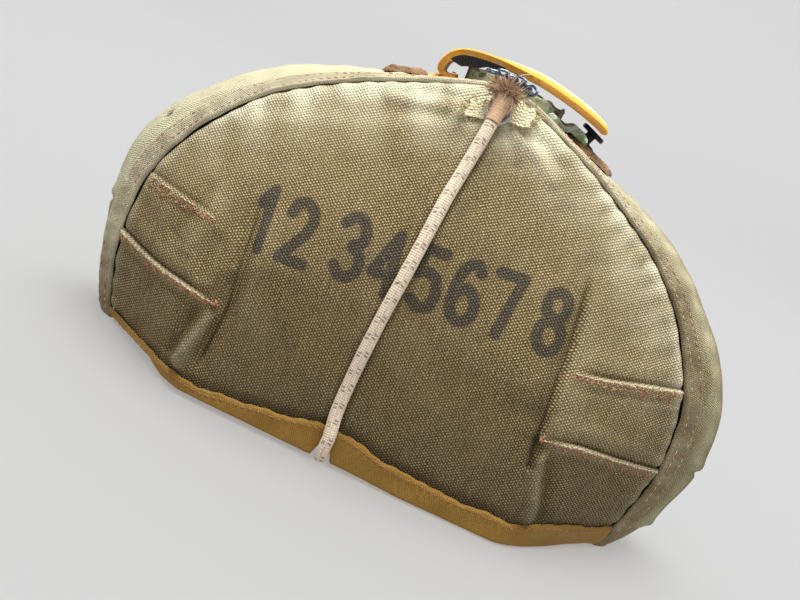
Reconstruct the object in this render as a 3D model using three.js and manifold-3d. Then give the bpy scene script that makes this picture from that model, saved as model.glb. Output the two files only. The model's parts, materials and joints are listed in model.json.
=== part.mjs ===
// Half-moon canteen in a canvas cover with an elastic retaining cord.
// Millimetres, +Z up, front face towards -Y, +X to the viewer's right.
// The cover stands on its open hem; the origin is the bottom centre of the whole object.
import * as THREE from 'three';
import { mergeVertices } from 'three/addons/utils/BufferGeometryUtils.js';
import Module from 'manifold-3d';

const wasm = await Module();
wasm.setup();

// ---------------------------------------------------------------- driving dimensions
// Half outline of the front seam, from the hem corner up to the crown: [x, z].
const SEAM_HALF = [
  [122, 0], [126, 9], [128.7, 19.5], [130.6, 30], [131.7, 42], [131.5, 54], [130.2, 64],
  [127.9, 73.5], [124.2, 83.5], [119, 93], [112.3, 103], [104.6, 112.8], [96.2, 121.2],
  [87.2, 128.6], [76.8, 135.8], [65, 142.6], [52.5, 149], [40, 154.6], [28, 159.6],
  [17, 163.6], [8, 166.4], [0, 167.4],
];
// Tables over u: 0 at the crown, 1 at the hem corner.
const SEAM_FRONT_Y = [[0, 36], [0.2, 38], [0.5, 42], [0.8, 44], [1, 46]];
const SEAM_BACK_Y = 88;
const BACK_SCALE = 0.985; // the back outline is a little smaller than the front one
const GUSSET_BULGE = [[0, 1.5], [0.12, 2.2], [0.22, 5], [0.31, 8.7], [0.41, 12.5], [0.5, 15], [0.6, 19], [0.7, 20.7], [0.8, 20.7], [0.9, 18], [1, 15]];
const DOME_WIDTH = [[0, 108], [0.2, 100], [0.4, 80], [0.6, 62], [0.8, 54], [1, 50]];
const DOME_POWER = [[0, 2], [0.3, 1.9], [0.6, 1.5], [0.8, 1.3], [1, 1.3]];
const BACK_FLAT_Y = 91; // outer plane of the back panel
const CANVAS = 2.0; // doubled, lined duck
const GAP = 0.35; // clearance between neighbouring layers
const FELT = 1.3;
const BOTTLE_CLEAR = 5.8; // cover's outer face to the bottle
const BOTTLE_WALL = 1.2;
const BOTTLE_BASE_Z = 7.0;
const BOTTLE_RIM_Y = 62;
const BOTTLE_SHOULDER_Z = 130;
const BOTTLE_SHOULDER_RISE = 20;
const HEM_TAPE_HEIGHT = 9.5;
const HEM_TAPE_THICK = 1.3;
const BIND_S = 0.18; // share of the gusset width that the seam binding covers
const BIND_THICK = 1.7;
const CORD_R = 2.6;
const CORD_X = -7.2;
const NECK = { x: 0, y: 62, rOut: 10.5, rIn: 8.7, z0: 141, z1: 163.2 };
const CAP = { r: 13.2, rIn: 11.2, z0: 153.5, zIn: 165.4, z1: 168, knobR: 2.6, knobZ: 170.2 };
const COLLAR = { cx: 2.0, a: 23.0, b: 15.6, t: 1.2, z0: 158.5 };
const STRAP = { y0: 49.5, y1: 75.5, thick: 2.8, hinge: [-31, 165] };
const BELT_LOOP = { x: 52, w: 40, z0: 44, z1: 136, gap: 7, thick: 2.0 };

// ---------------------------------------------------------------- small helpers
const V = (x, y, z) => new THREE.Vector3(x, y, z);
const clamp = (v, a, b) => Math.min(b, Math.max(a, v));
const smooth = (a, b, v) => { const t = clamp((v - a) / (b - a), 0, 1); return t * t * (3 - 2 * t); };
function table(tab, u) {
  if (u <= tab[0][0]) return tab[0][1];
  for (let i = 1; i < tab.length; i++) {
    if (u <= tab[i][0]) {
      const k = (u - tab[i - 1][0]) / (tab[i][0] - tab[i - 1][0]);
      const s = k * k * (3 - 2 * k) * 0.4 + k * 0.6;
      return tab[i - 1][1] + (tab[i][1] - tab[i - 1][1]) * s;
    }
  }
  return tab[tab.length - 1][1];
}
function catmull(p, per) {
  const out = [];
  const g = (i) => (i < 0 ? [2 * p[0][0] - p[1][0], 2 * p[0][1] - p[1][1]]
    : i >= p.length ? [2 * p[p.length - 1][0] - p[p.length - 2][0], 2 * p[p.length - 1][1] - p[p.length - 2][1]] : p[i]);
  for (let i = 0; i < p.length - 1; i++) {
    const [a, b, c, d] = [g(i - 1), g(i), g(i + 1), g(i + 2)];
    for (let k = 0; k < per; k++) {
      const t = k / per, t2 = t * t, t3 = t2 * t;
      out.push([0, 1].map((j) => 0.5 * (2 * b[j] + (c[j] - a[j]) * t + (2 * a[j] - 5 * b[j] + 4 * c[j] - d[j]) * t2 + (3 * b[j] - a[j] - 3 * c[j] + d[j]) * t3)));
    }
  }
  out.push(p[p.length - 1].slice());
  return out;
}
function arcTable(pts) {
  const s = [0];
  for (let i = 1; i < pts.length; i++) s.push(s[i - 1] + Math.hypot(pts[i][0] - pts[i - 1][0], pts[i][1] - pts[i - 1][1]));
  return s;
}

// ---------------------------------------------------------------- the seam outline
const SEAM_PTS = catmull([...SEAM_HALF.map(([x, z]) => [-x, z]), ...SEAM_HALF.slice(0, -1).reverse()], 8);
const SEAM_S = arcTable(SEAM_PTS);
const SEAM_LEN = SEAM_S[SEAM_S.length - 1];
function seam(t) { // t 0..1 by length, left hem corner to right hem corner
  const s = clamp(t, 0, 1) * SEAM_LEN;
  let i = 1;
  while (i < SEAM_S.length - 1 && SEAM_S[i] < s) i++;
  const k = (s - SEAM_S[i - 1]) / (SEAM_S[i] - SEAM_S[i - 1]);
  const a = SEAM_PTS[i - 1], b = SEAM_PTS[i];
  const x = a[0] + (b[0] - a[0]) * k, z = a[1] + (b[1] - a[1]) * k;
  const h = 3;
  const lo = SEAM_PTS[Math.max(0, i - h)], hi = SEAM_PTS[Math.min(SEAM_PTS.length - 1, i + h - 1)];
  const dx = hi[0] - lo[0], dz = hi[1] - lo[1], l = Math.hypot(dx, dz);
  let nx = -dz / l, nz = dx / l;
  if (nz < 0) nz *= smooth(0, 30, z);
  const m = Math.hypot(nx, nz);
  return { x, z, nx: nx / m, nz: nz / m, u: Math.abs(2 * t - 1) };
}
function nearest(x, z) {
  let best = 1e9, bi = 0;
  for (let i = 0; i < SEAM_PTS.length; i++) {
    const d = Math.hypot(SEAM_PTS[i][0] - x, SEAM_PTS[i][1] - z);
    if (d < best) { best = d; bi = i; }
  }
  for (const j of [bi - 1, bi]) {
    if (j < 0 || j >= SEAM_PTS.length - 1) continue;
    const a = SEAM_PTS[j], b = SEAM_PTS[j + 1];
    const ux = b[0] - a[0], uz = b[1] - a[1];
    const k = clamp(((x - a[0]) * ux + (z - a[1]) * uz) / (ux * ux + uz * uz), 0, 1);
    const d = Math.hypot(a[0] + ux * k - x, a[1] + uz * k - z);
    if (d <= best) { best = d; }
  }
  return { d: best, u: Math.abs(2 * SEAM_S[bi] / SEAM_LEN - 1) };
}
// Outer face of the front panel.
function frontY(x, z) {
  const { d, u } = nearest(x, z);
  const e = clamp(1 - d / table(DOME_WIDTH, u), 0, 1);
  return table(SEAM_FRONT_Y, u) * Math.pow(e, table(DOME_POWER, u)) + 3 * (x / 100) ** 2 * (1 - e);
}
// Outer face of the back panel; x, z on the smaller back outline.
function backY(x, z) {
  const { d } = nearest(x / BACK_SCALE, z / BACK_SCALE);
  return SEAM_BACK_Y + (BACK_FLAT_Y - SEAM_BACK_Y) * smooth(0, 24, d);
}
// Outer face of the gusset: t along the seam, s 0 at the front seam and 1 at the back one.
function gusset(t, s) {
  const q = seam(t);
  const yf = table(SEAM_FRONT_Y, q.u);
  const k = 1 + (BACK_SCALE - 1) * s;
  const b = table(GUSSET_BULGE, q.u) * Math.pow(Math.max(0, 4 * s * (1 - s)), 0.85);
  return V(q.x * k + q.nx * b, yf + (SEAM_BACK_Y - yf) * s, q.z * k + q.nz * b);
}

// ---------------------------------------------------------------- solids from grids
function gridNormals(g, wrap) {
  const R = g.length, C = g[0].length, n = [];
  for (let i = 0; i < R; i++) {
    n.push([]);
    for (let j = 0; j < C; j++) {
      const a = g[wrap ? (i + R - 1) % R : Math.max(0, i - 1)][j], b = g[wrap ? (i + 1) % R : Math.min(R - 1, i + 1)][j];
      const c = g[i][Math.max(0, j - 1)], d = g[i][Math.min(C - 1, j + 1)];
      const m = b.clone().sub(a).cross(d.clone().sub(c));
      n[i].push(m.lengthSq() > 1e-12 ? m.normalize() : V(0, 0, 0));
    }
  }
  return n;
}
function signedVolume(pos, idx) {
  let v = 0;
  const a = V(), b = V(), c = V();
  for (let i = 0; i < idx.length; i += 3) {
    a.fromArray(pos, idx[i] * 3); b.fromArray(pos, idx[i + 1] * 3); c.fromArray(pos, idx[i + 2] * 3);
    v += a.dot(b.clone().cross(c));
  }
  return v / 6;
}
function fromIndexed(pos, idx) {
  if (signedVolume(pos, idx) < 0) for (let i = 0; i < idx.length; i += 3) [idx[i + 1], idx[i + 2]] = [idx[i + 2], idx[i + 1]];
  let g = new THREE.BufferGeometry();
  g.setAttribute('position', new THREE.Float32BufferAttribute(pos, 3));
  g.setIndex(idx);
  g = mergeVertices(g, 1e-4);
  const ii = g.index.array, keep = [];
  for (let i = 0; i < ii.length; i += 3) {
    if (ii[i] !== ii[i + 1] && ii[i + 1] !== ii[i + 2] && ii[i] !== ii[i + 2]) keep.push(ii[i], ii[i + 1], ii[i + 2]);
  }
  g.setIndex(keep);
  return g;
}
// A closed sheet between two grids of points; wrap joins the last row to the first.
function sheet(A, B, wrap = false) {
  const R = A.length, C = A[0].length, pos = [], idx = [];
  for (const g of [A, B]) for (const r of g) for (const p of r) pos.push(p.x, p.y, p.z);
  const id = (s, i, j) => s * R * C + ((i + R) % R) * C + j;
  const quad = (a, b, c, d) => idx.push(a, b, c, a, c, d);
  const RI = wrap ? R : R - 1;
  for (let i = 0; i < RI; i++) {
    for (let j = 0; j < C - 1; j++) {
      quad(id(0, i, j), id(0, i, j + 1), id(0, i + 1, j + 1), id(0, i + 1, j));
      quad(id(1, i, j), id(1, i + 1, j), id(1, i + 1, j + 1), id(1, i, j + 1));
    }
    quad(id(0, i, 0), id(0, i + 1, 0), id(1, i + 1, 0), id(1, i, 0));
    quad(id(0, i, C - 1), id(1, i, C - 1), id(1, i + 1, C - 1), id(0, i + 1, C - 1));
  }
  if (!wrap) for (let j = 0; j < C - 1; j++) {
    quad(id(0, 0, j), id(1, 0, j), id(1, 0, j + 1), id(0, 0, j + 1));
    quad(id(0, R - 1, j), id(0, R - 1, j + 1), id(1, R - 1, j + 1), id(1, R - 1, j));
  }
  return fromIndexed(pos, idx);
}
// Offset grid: amount along the grid normal, turned to point away from centre c.
function offset(g, amount, c, wrap = false) {
  const n = gridNormals(g, wrap);
  return g.map((r, i) => r.map((p, j) => {
    const m = n[i][j];
    const s = m.dot(p.clone().sub(c)) < 0 ? -1 : 1;
    return p.clone().addScaledVector(m, s * amount);
  }));
}
function layer(g, lo, hi, c, wrap = false) {
  return sheet(offset(g, hi, c, wrap), offset(g, lo, c, wrap), wrap);
}
const INSIDE = V(0, 58, 60);

// Transfinite grid over the region under the seam arch, inset by d, above z0.
function archGrid(nu, nv, inset, z0, scale, yOf, zMax = 1e9) {
  const tA = 0.155;
  const q = (t) => {
    const p = seam(t);
    return [(p.x - p.nx * inset) * scale, Math.max(z0, Math.min(zMax, (p.z - p.nz * inset) * scale))];
  };
  // start of the arch at the height z0
  let t0 = 0;
  while (seam(t0).z * scale < z0 && t0 < 0.2) t0 += 0.001;
  const L = (v) => q(t0 + (tA - t0) * v), R = (v) => q(1 - t0 - (tA - t0) * v);
  const T = (w) => q(tA + (1 - 2 * tA) * w);
  const l0 = L(0), r0 = R(0);
  const B = (w) => { const k = w * 0.75 + 0.25 * (w - Math.sin(4 * Math.PI * w) / (4 * Math.PI)); return [l0[0] + (r0[0] - l0[0]) * k, z0]; };
  const l1 = L(1), r1 = R(1), g = [];
  for (let i = 0; i <= nu; i++) {
    const w = i / nu, row = [];
    for (let j = 0; j <= nv; j++) {
      const v = j / nv;
      const p = [0, 1].map((k) => (1 - v) * B(w)[k] + v * T(w)[k] + (1 - w) * L(v)[k] + w * R(v)[k]
        - ((1 - w) * (1 - v) * l0[k] + w * (1 - v) * r0[k] + (1 - w) * v * l1[k] + w * v * r1[k]));
      row.push(V(p[0], yOf(p[0], p[1]), p[1]));
    }
    g.push(row);
  }
  return g;
}

// ---------------------------------------------------------------- booleans
function toManifold(geo) {
  let g = geo.clone();
  for (const k of Object.keys(g.attributes)) if (k !== 'position') g.deleteAttribute(k);
  g = mergeVertices(g, 1e-4);
  return new wasm.Manifold(new wasm.Mesh({ numProp: 3, vertProperties: new Float32Array(g.attributes.position.array), triVerts: new Uint32Array(g.index.array) }));
}
function fromManifold(m) {
  const mesh = m.getMesh();
  const g = new THREE.BufferGeometry();
  g.setAttribute('position', new THREE.BufferAttribute(new Float32Array(mesh.vertProperties), 3));
  g.setIndex(new THREE.BufferAttribute(new Uint32Array(mesh.triVerts), 1));
  return g;
}
const cut = (a, ...tools) => fromManifold(tools.reduce((m, t) => m.subtract(toManifold(t)), toManifold(a)));
const boxAt = (x0, y0, z0, x1, y1, z1) => new THREE.BoxGeometry(x1 - x0, y1 - y0, z1 - z0).translate((x0 + x1) / 2, (y0 + y1) / 2, (z0 + z1) / 2);
const cylZ = (x, y, z0, z1, r, n = 24, kx = 1, ky = 1) => new THREE.CylinderGeometry(r, r, z1 - z0, n).rotateX(Math.PI / 2).scale(kx, ky, 1).translate(x, y, (z0 + z1) / 2);
// Merged, closed and facing outwards whichever way its profile was drawn.
function tidy(geo) {
  const g = geo.clone();
  for (const k of Object.keys(g.attributes)) if (k !== 'position') g.deleteAttribute(k);
  const m = mergeVertices(g, 1e-4);
  return fromIndexed(Array.from(m.attributes.position.array), Array.from(m.index.array));
}
const latheZ = (profile, n, x, y) => tidy(new THREE.LatheGeometry(profile.map(([r, z]) => new THREE.Vector2(r, z)), n).rotateX(Math.PI / 2).translate(x, y, 0));

function latheAlong(profile, seg, origin, axis) { // profile [r, h], h along axis
  const g = new THREE.LatheGeometry(profile.map(([r, h]) => new THREE.Vector2(r, h)), seg);
  g.applyQuaternion(new THREE.Quaternion().setFromUnitVectors(V(0, 1, 0), axis));
  g.translate(origin.x, origin.y, origin.z);
  return tidy(g);
}

// ---------------------------------------------------------------- the assembly
const canteen = new THREE.Group();
const shell = new THREE.Group();
canteen.add(shell);
function add(name, geometry, color, roughness, metalness = 0, parent = shell) {
  const mesh = new THREE.Mesh(geometry, new THREE.MeshStandardMaterial({ color, roughness, metalness }));
  mesh.name = name;
  parent.add(mesh);
  return mesh;
}
const OLIVE = 0x76684e, TAPE = 0x96712a, BIND = 0x8a7c58, FELT_GREY = 0x8f8b80, ALLOY = 0xa9adb0, BLACK = 0x16181c;

// Cut-outs.
const notchFront = boxAt(CORD_X - 3.6, -6, -1, CORD_X + 3.6, 8, 7.8);
const notchBack = boxAt(CORD_X - 3.6, 80, -1, CORD_X + 3.6, 100, 7.8);
const collarHole = cylZ(COLLAR.cx, NECK.y, 140, 190, 1, 36, COLLAR.a + 0.5, COLLAR.b + 0.5);

// Cover: front and back panels, open along the hem.
const frontGrid = archGrid(28, 10, 0.5, 0.8, 1, frontY);
add('cover_front_panel', cut(layer(frontGrid, -CANVAS, 0, INSIDE), notchFront), OLIVE, 0.95);
const backGrid = archGrid(22, 7, 0.5, 0.8, BACK_SCALE, backY);
add('cover_back_panel', cut(layer(backGrid, -CANVAS, 0, INSIDE), notchBack), OLIVE, 0.95);

// Gusset: the long strip round the edge, with the cut-out for the neck at the crown.
const GUSSET_COLUMNS = [0.06, 0.12, BIND_S, 0.34, 0.5, 0.66, 1 - BIND_S, 0.88, 0.94];
const even = (a, b, n) => Array.from({ length: n + 1 }, (_, i) => a + (b - a) * i / n);
function gussetGrid(nt, cols, t0 = 0, t1 = 1) {
  return even(t0, t1, nt).map((t) => cols.map((s) => gusset(t, s)));
}
function gussetLayer(nt, cols, lo, hi, t0 = 0, t1 = 1, floor = 0) {
  const g = gussetGrid(nt, cols, t0, t1);
  const A = offset(g, hi, INSIDE), B = offset(g, lo, INSIDE);
  if (t0 === 0) for (const G of [A, B]) for (const e of [0, G.length - 1]) for (const p of G[e]) p.z = floor;
  return sheet(A, B);
}
add('cover_gusset', cut(gussetLayer(42, GUSSET_COLUMNS, -CANVAS, 0), collarHole), OLIVE, 0.95);

// Bias binding over the raw seam edges, lying on the gusset.
add('seam_binding_front', gussetLayer(42, [0.015, 0.06, 0.12, BIND_S], 0.5, 0.5 + BIND_THICK), BIND, 0.9);
add('seam_binding_back', gussetLayer(42, [1 - BIND_S, 0.88, 0.94, 0.985], 0.5, 0.5 + BIND_THICK), BIND, 0.9);

// Hem tape along the lower edge of each panel.
function hemGrid(n, scale, yOf, inset) {
  const g = [];
  for (let i = 0; i <= n; i++) {
    const row = [];
    for (let j = 0; j <= 2; j++) {
      const z = HEM_TAPE_HEIGHT * j / 2;
      let t = 0;
      while (seam(t).z * scale < z) t += 0.0005;
      const xs = Math.abs(seam(t).x * scale) - inset;
      const w = i / n, k = w * 0.75 + 0.25 * (w - Math.sin(4 * Math.PI * w) / (4 * Math.PI));
      const x = -xs + 2 * xs * k;
      row.push(V(x, yOf(x, z), z));
    }
    g.push(row);
  }
  return g;
}
function hemTape(g) {
  const A = offset(g, 0.8 + HEM_TAPE_THICK, INSIDE), B = offset(g, 0.8, INSIDE);
  for (const G of [A, B]) for (const r of G) { r[0].z = 0; r[1].z = HEM_TAPE_HEIGHT / 2; r[2].z = HEM_TAPE_HEIGHT; }
  return sheet(A, B);
}
add('hem_tape_front', cut(hemTape(hemGrid(28, 1, frontY, 1.6)), notchFront), TAPE, 0.85);
add('hem_tape_back', cut(hemTape(hemGrid(22, BACK_SCALE, backY, 2.2)), notchBack), TAPE, 0.85);

// Felt lining, glued inside the two panels.
add('felt_lining_front', layer(archGrid(16, 6, 12, 9, 1, frontY), -CANVAS - 1.2 - FELT, -CANVAS - 1.2, INSIDE), FELT_GREY, 1);
add('felt_lining_back', layer(archGrid(12, 5, 12, 9, BACK_SCALE, backY), -CANVAS - 0.6 - FELT, -CANVAS - 0.6, INSIDE), FELT_GREY, 1);

// ---------------------------------------------------------------- the bottle
// Cover samples that the bottle keeps clear of.
const coverFront = [], coverBack = [];
for (const r of archGrid(150, 80, 0, 0, 1, frontY)) for (const p of r) coverFront.push(p);
for (const r of archGrid(150, 80, 0, 0, BACK_SCALE, backY)) for (const p of r) coverBack.push(p);
for (let i = 0; i <= 300; i++) for (let j = 0; j <= 40; j++) {
  const p = gusset(i / 300, j / 40);
  if (j <= 20) coverFront.push(p);
  if (j >= 16) coverBack.push(p);
}
function clearY(list, x, z, c, dir) {
  let best = dir > 0 ? -1e9 : 1e9;
  for (const p of list) {
    const d2 = (p.x - x) ** 2 + (p.z - z) ** 2;
    if (d2 < c * c) {
      const y = p.y + dir * Math.sqrt(c * c - d2);
      best = dir > 0 ? Math.max(best, y) : Math.min(best, y);
    }
  }
  return best;
}
function bottleOutline(n) {
  const raw = [];
  for (let i = 0; i <= 160; i++) {
    const t = i / 160, q = seam(t), w = gusset(t, 0.45);
    let x = w.x - q.nx * (BOTTLE_CLEAR + 1.6), z = w.z - q.nz * (BOTTLE_CLEAR + 1.6);
    if (z < 21) continue;
    if (z > BOTTLE_SHOULDER_Z) z = BOTTLE_SHOULDER_Z + BOTTLE_SHOULDER_RISE * Math.tanh((z - BOTTLE_SHOULDER_Z) / BOTTLE_SHOULDER_RISE);
    raw.push([x, z]);
  }
  const xe = raw[0][0], ze = raw[0][1];
  const corner = (s) => {
    const o = [];
    for (let i = 0; i < 6; i++) { // quarter round from the base up to the side
      const a = (i / 6) * Math.PI / 2;
      o.push([s * (Math.abs(xe) - 16 + 15 * Math.sin(a)), BOTTLE_BASE_Z + (ze - BOTTLE_BASE_Z) * (1 - Math.cos(a))]);
    }
    return o;
  };
  const xb = Math.abs(xe) - 16, base = [];
  for (let i = 1; i < 12; i++) base.push([xb - 2 * xb * i / 12, BOTTLE_BASE_Z]);
  const loop = [...corner(-1), ...raw, ...corner(1).reverse(), ...base];
  // resample evenly
  const closed = [...loop, loop[0]], S = arcTable(closed), len = S[S.length - 1], out = [];
  for (let i = 0; i < n; i++) {
    const s = len * i / n;
    let k = 1; while (S[k] < s) k++;
    const f = (s - S[k - 1]) / (S[k] - S[k - 1] || 1);
    out.push([closed[k - 1][0] + (closed[k][0] - closed[k - 1][0]) * f, closed[k - 1][1] + (closed[k][1] - closed[k - 1][1]) * f]);
  }
  return out;
}
const OUT = bottleOutline(38);
function bottleHalf(list, dir) { // dir +1: front half, opening towards +Y
  const rim = BOTTLE_RIM_Y - dir * 0.15, C = [0, 74];
  const steps = [[0.22, 1], [0.46, 1], [0.66, 1], [0.8, 1], [0.9, 1], [0.965, 1], [1, 0.84], [1, 0]];
  const outer = OUT.map(([ox, oz]) => steps.map(([r, k]) => {
    const x = C[0] + (ox - C[0]) * r, z = C[1] + (oz - C[1]) * r;
    if (k === 0) return V(x, rim, z);
    let y = clearY(list, x, z, BOTTLE_CLEAR, dir);
    if (dir > 0) y = Math.min(y, rim - 2.0); else y = Math.max(y, rim + 2.0);
    return V(x, rim - (rim - y) * k, z);
  }));
  const mid = V(0, BOTTLE_RIM_Y, 60);
  const inner = offset(outer, -BOTTLE_WALL, mid, true);
  const n = OUT.length;
  for (let i = 0; i < n; i++) {
    const a = OUT[(i + n - 1) % n], b = OUT[(i + 1) % n];
    let nx = b[1] - a[1], nz = -(b[0] - a[0]);
    const l = Math.hypot(nx, nz); nx /= l; nz /= l;
    const toC = (C[0] - OUT[i][0]) * nx + (C[1] - OUT[i][1]) * nz;
    const s = toC > 0 ? 1 : -1, last = steps.length - 1;
    inner[i][last] = V(OUT[i][0] + s * nx * BOTTLE_WALL, rim, OUT[i][1] + s * nz * BOTTLE_WALL);
  }
  // close the crown of the tray with a centre point on each face
  const R = n, K = steps.length, pos = [], idx = [];
  for (const g of [outer, inner]) for (const r of g) for (const p of r) pos.push(p.x, p.y, p.z);
  const yc = clearY(list, C[0], C[1], BOTTLE_CLEAR, dir);
  pos.push(C[0], yc, C[1], C[0], yc + dir * BOTTLE_WALL, C[1]);
  const id = (s, i, j) => s * R * K + ((i + R) % R) * K + j, c0 = 2 * R * K, c1 = c0 + 1;
  for (let i = 0; i < R; i++) {
    for (let j = 0; j < K - 1; j++) {
      idx.push(id(0, i, j), id(0, i, j + 1), id(0, i + 1, j + 1), id(0, i, j), id(0, i + 1, j + 1), id(0, i + 1, j));
      idx.push(id(1, i, j), id(1, i + 1, j), id(1, i + 1, j + 1), id(1, i, j), id(1, i + 1, j + 1), id(1, i, j + 1));
    }
    idx.push(c0, id(0, i, 0), id(0, i + 1, 0), c1, id(1, i + 1, 0), id(1, i, 0));
    idx.push(id(0, i, K - 1), id(1, i, K - 1), id(1, i + 1, K - 1), id(0, i, K - 1), id(1, i + 1, K - 1), id(0, i + 1, K - 1));
  }
  return fromIndexed(pos, idx);
}
const neckBore = cylZ(NECK.x, NECK.y, 120, 200, NECK.rOut + 0.35, 28);
add('bottle_front_half', cut(bottleHalf(coverFront, 1), neckBore), ALLOY, 0.4, 0.9);
add('bottle_back_half', cut(bottleHalf(coverBack, -1), neckBore), ALLOY, 0.4, 0.9);
add('bottle_neck', latheZ([[NECK.rIn, NECK.z0], [NECK.rOut, NECK.z0], [NECK.rOut, NECK.z1], [NECK.rIn, NECK.z1], [NECK.rIn, NECK.z0]], 28, NECK.x, NECK.y), ALLOY, 0.35, 0.9);

// ---------------------------------------------------------------- cap, gasket, swivel ring
add('cap', latheZ([
  [CAP.rIn, CAP.z0], [CAP.r, CAP.z0], [CAP.r, CAP.z1 - 1.2], [CAP.r - 1.2, CAP.z1], [CAP.knobR, CAP.z1],
  [CAP.knobR, CAP.knobZ], [0, CAP.knobZ], [0, CAP.zIn], [CAP.rIn, CAP.zIn], [CAP.rIn, CAP.z0],
].reverse(), 28, NECK.x, NECK.y), BLACK, 0.25);
add('cap_gasket', latheZ([[7.5, 163.6], [10.8, 163.6], [10.8, 165.1], [7.5, 165.1], [7.5, 163.6]], 24, NECK.x, NECK.y), 0x5b3a2a, 0.9);
add('cap_swivel_ring', latheZ([[3.0, CAP.z1 + 0.35], [5.6, CAP.z1 + 0.35], [5.6, CAP.z1 + 1.3], [3.0, CAP.z1 + 1.3], [3.0, CAP.z1 + 0.35]], 20, NECK.x, NECK.y), 0x2a2e36, 0.3, 1);

// ---------------------------------------------------------------- camouflage collar round the neck
function collarTop(x) { return 173 - 3.2 * smooth(-2, 24, x); }
{
  const n = 28, g = [], gi = [];
  for (let i = 0; i < n; i++) {
    const a = 2 * Math.PI * i / n, c = Math.cos(a), s = Math.sin(a);
    const row = (k) => {
      const x = COLLAR.cx + (COLLAR.a - k) * c, y = NECK.y + (COLLAR.b - k) * s;
      return [V(x, y, COLLAR.z0), V(x, y, (COLLAR.z0 + collarTop(x)) / 2), V(x, y, collarTop(x))];
    };
    g.push(row(0)); gi.push(row(COLLAR.t));
  }
  add('neck_collar', sheet(g, gi, true), 0x5d6b4c, 0.95);
}

// ---------------------------------------------------------------- yoke pads, strap, press stud
function pad(t0, t1, s0, s1, lo, hi, nt = 6, ns = 4) { return layer(gussetGrid(nt, even(s0, s1, ns), t0, t1), lo, hi, INSIDE); }
const tAtX = (x) => { let t = 0; while (seam(t).x < x) t += 0.0005; return t; };
add('yoke_left', pad(tAtX(-52), tAtX(-35.4), 0.26, 0.74, 0.5, 2.4, 4, 4), 0x6a4a30, 0.9);
add('yoke_right', pad(tAtX(27.5), tAtX(52), 0.26, 0.74, 0.5, 2.4, 6, 4), 0x7a5c3c, 0.9);

// Centre line of the strap in X and Z, from its root over the cap to the tip.
const STRAP_LINE = catmull([[-31, 165], [-31.2, 168], [-29.6, 172], [-25.2, 175.2], [-18, 176.8], [-9, 177.3], [0, 176.9], [10, 176.1], [20, 174.8], [30, 172.9], [38, 170.8], [44.5, 168.4]], 4);
const strapRoll = (x) => 0.115 * smooth(-22, 12, x);
{
  const rows = STRAP_LINE.filter((_, i) => i % 2 === 0).map(([x, z], i, arr) => {
    const a = arr[Math.max(0, i - 1)], b = arr[Math.min(arr.length - 1, i + 1)];
    const dx = b[0] - a[0], dz = b[1] - a[1], l = Math.hypot(dx, dz);
    return { x, z, nx: -dz / l, nz: dx / l };
  });
  const tipTaper = (x) => 5.5 * smooth(34, 44.5, x);
  const mk = (o) => rows.map((r) => [0, 0.5, 1].map((k) => {
    const y0 = STRAP.y0 + tipTaper(r.x) * 0.35, y1 = STRAP.y1 - tipTaper(r.x), y = y0 + (y1 - y0) * k;
    return V(r.x + r.nx * o, y, r.z + r.nz * o + (y - STRAP.y0) * strapRoll(r.x));
  }));
  add('retaining_strap', sheet(mk(STRAP.thick / 2), mk(-STRAP.thick / 2)), 0xf0a228, 0.7);
}
// The end of the strap that is stitched flat to the gusset, beside the collar.
add('strap_anchor', pad(tAtX(-34.4), tAtX(-22.8), 0.26, 0.74, 0.4, 1.7, 3, 4), 0xf0a228, 0.7);
// Press stud: post on the right yoke pad, socket under the strap, on one tilted axis.
const STUD = { x: 36, y: 61, tilt: 0.36 };
{
  const base = gusset(tAtX(STUD.x), (STUD.y - 37) / (SEAM_BACK_Y - 37));
  const axis = V(Math.sin(STUD.tilt), 0, Math.cos(STUD.tilt));
  add('snap_stud', latheAlong([[0, 2.9], [5.4, 2.9], [5.4, 4.0], [2.3, 4.4], [2.3, 8.3], [1.8, 8.9], [0, 8.9]], 20, base, axis), BLACK, 0.3, 0.8);
  add('snap_socket', latheAlong([[3.3, 7.9], [5.8, 7.9], [5.8, 9.9], [3.3, 9.9], [3.3, 7.9]], 20, base, axis), BLACK, 0.3, 0.8);
}

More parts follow.
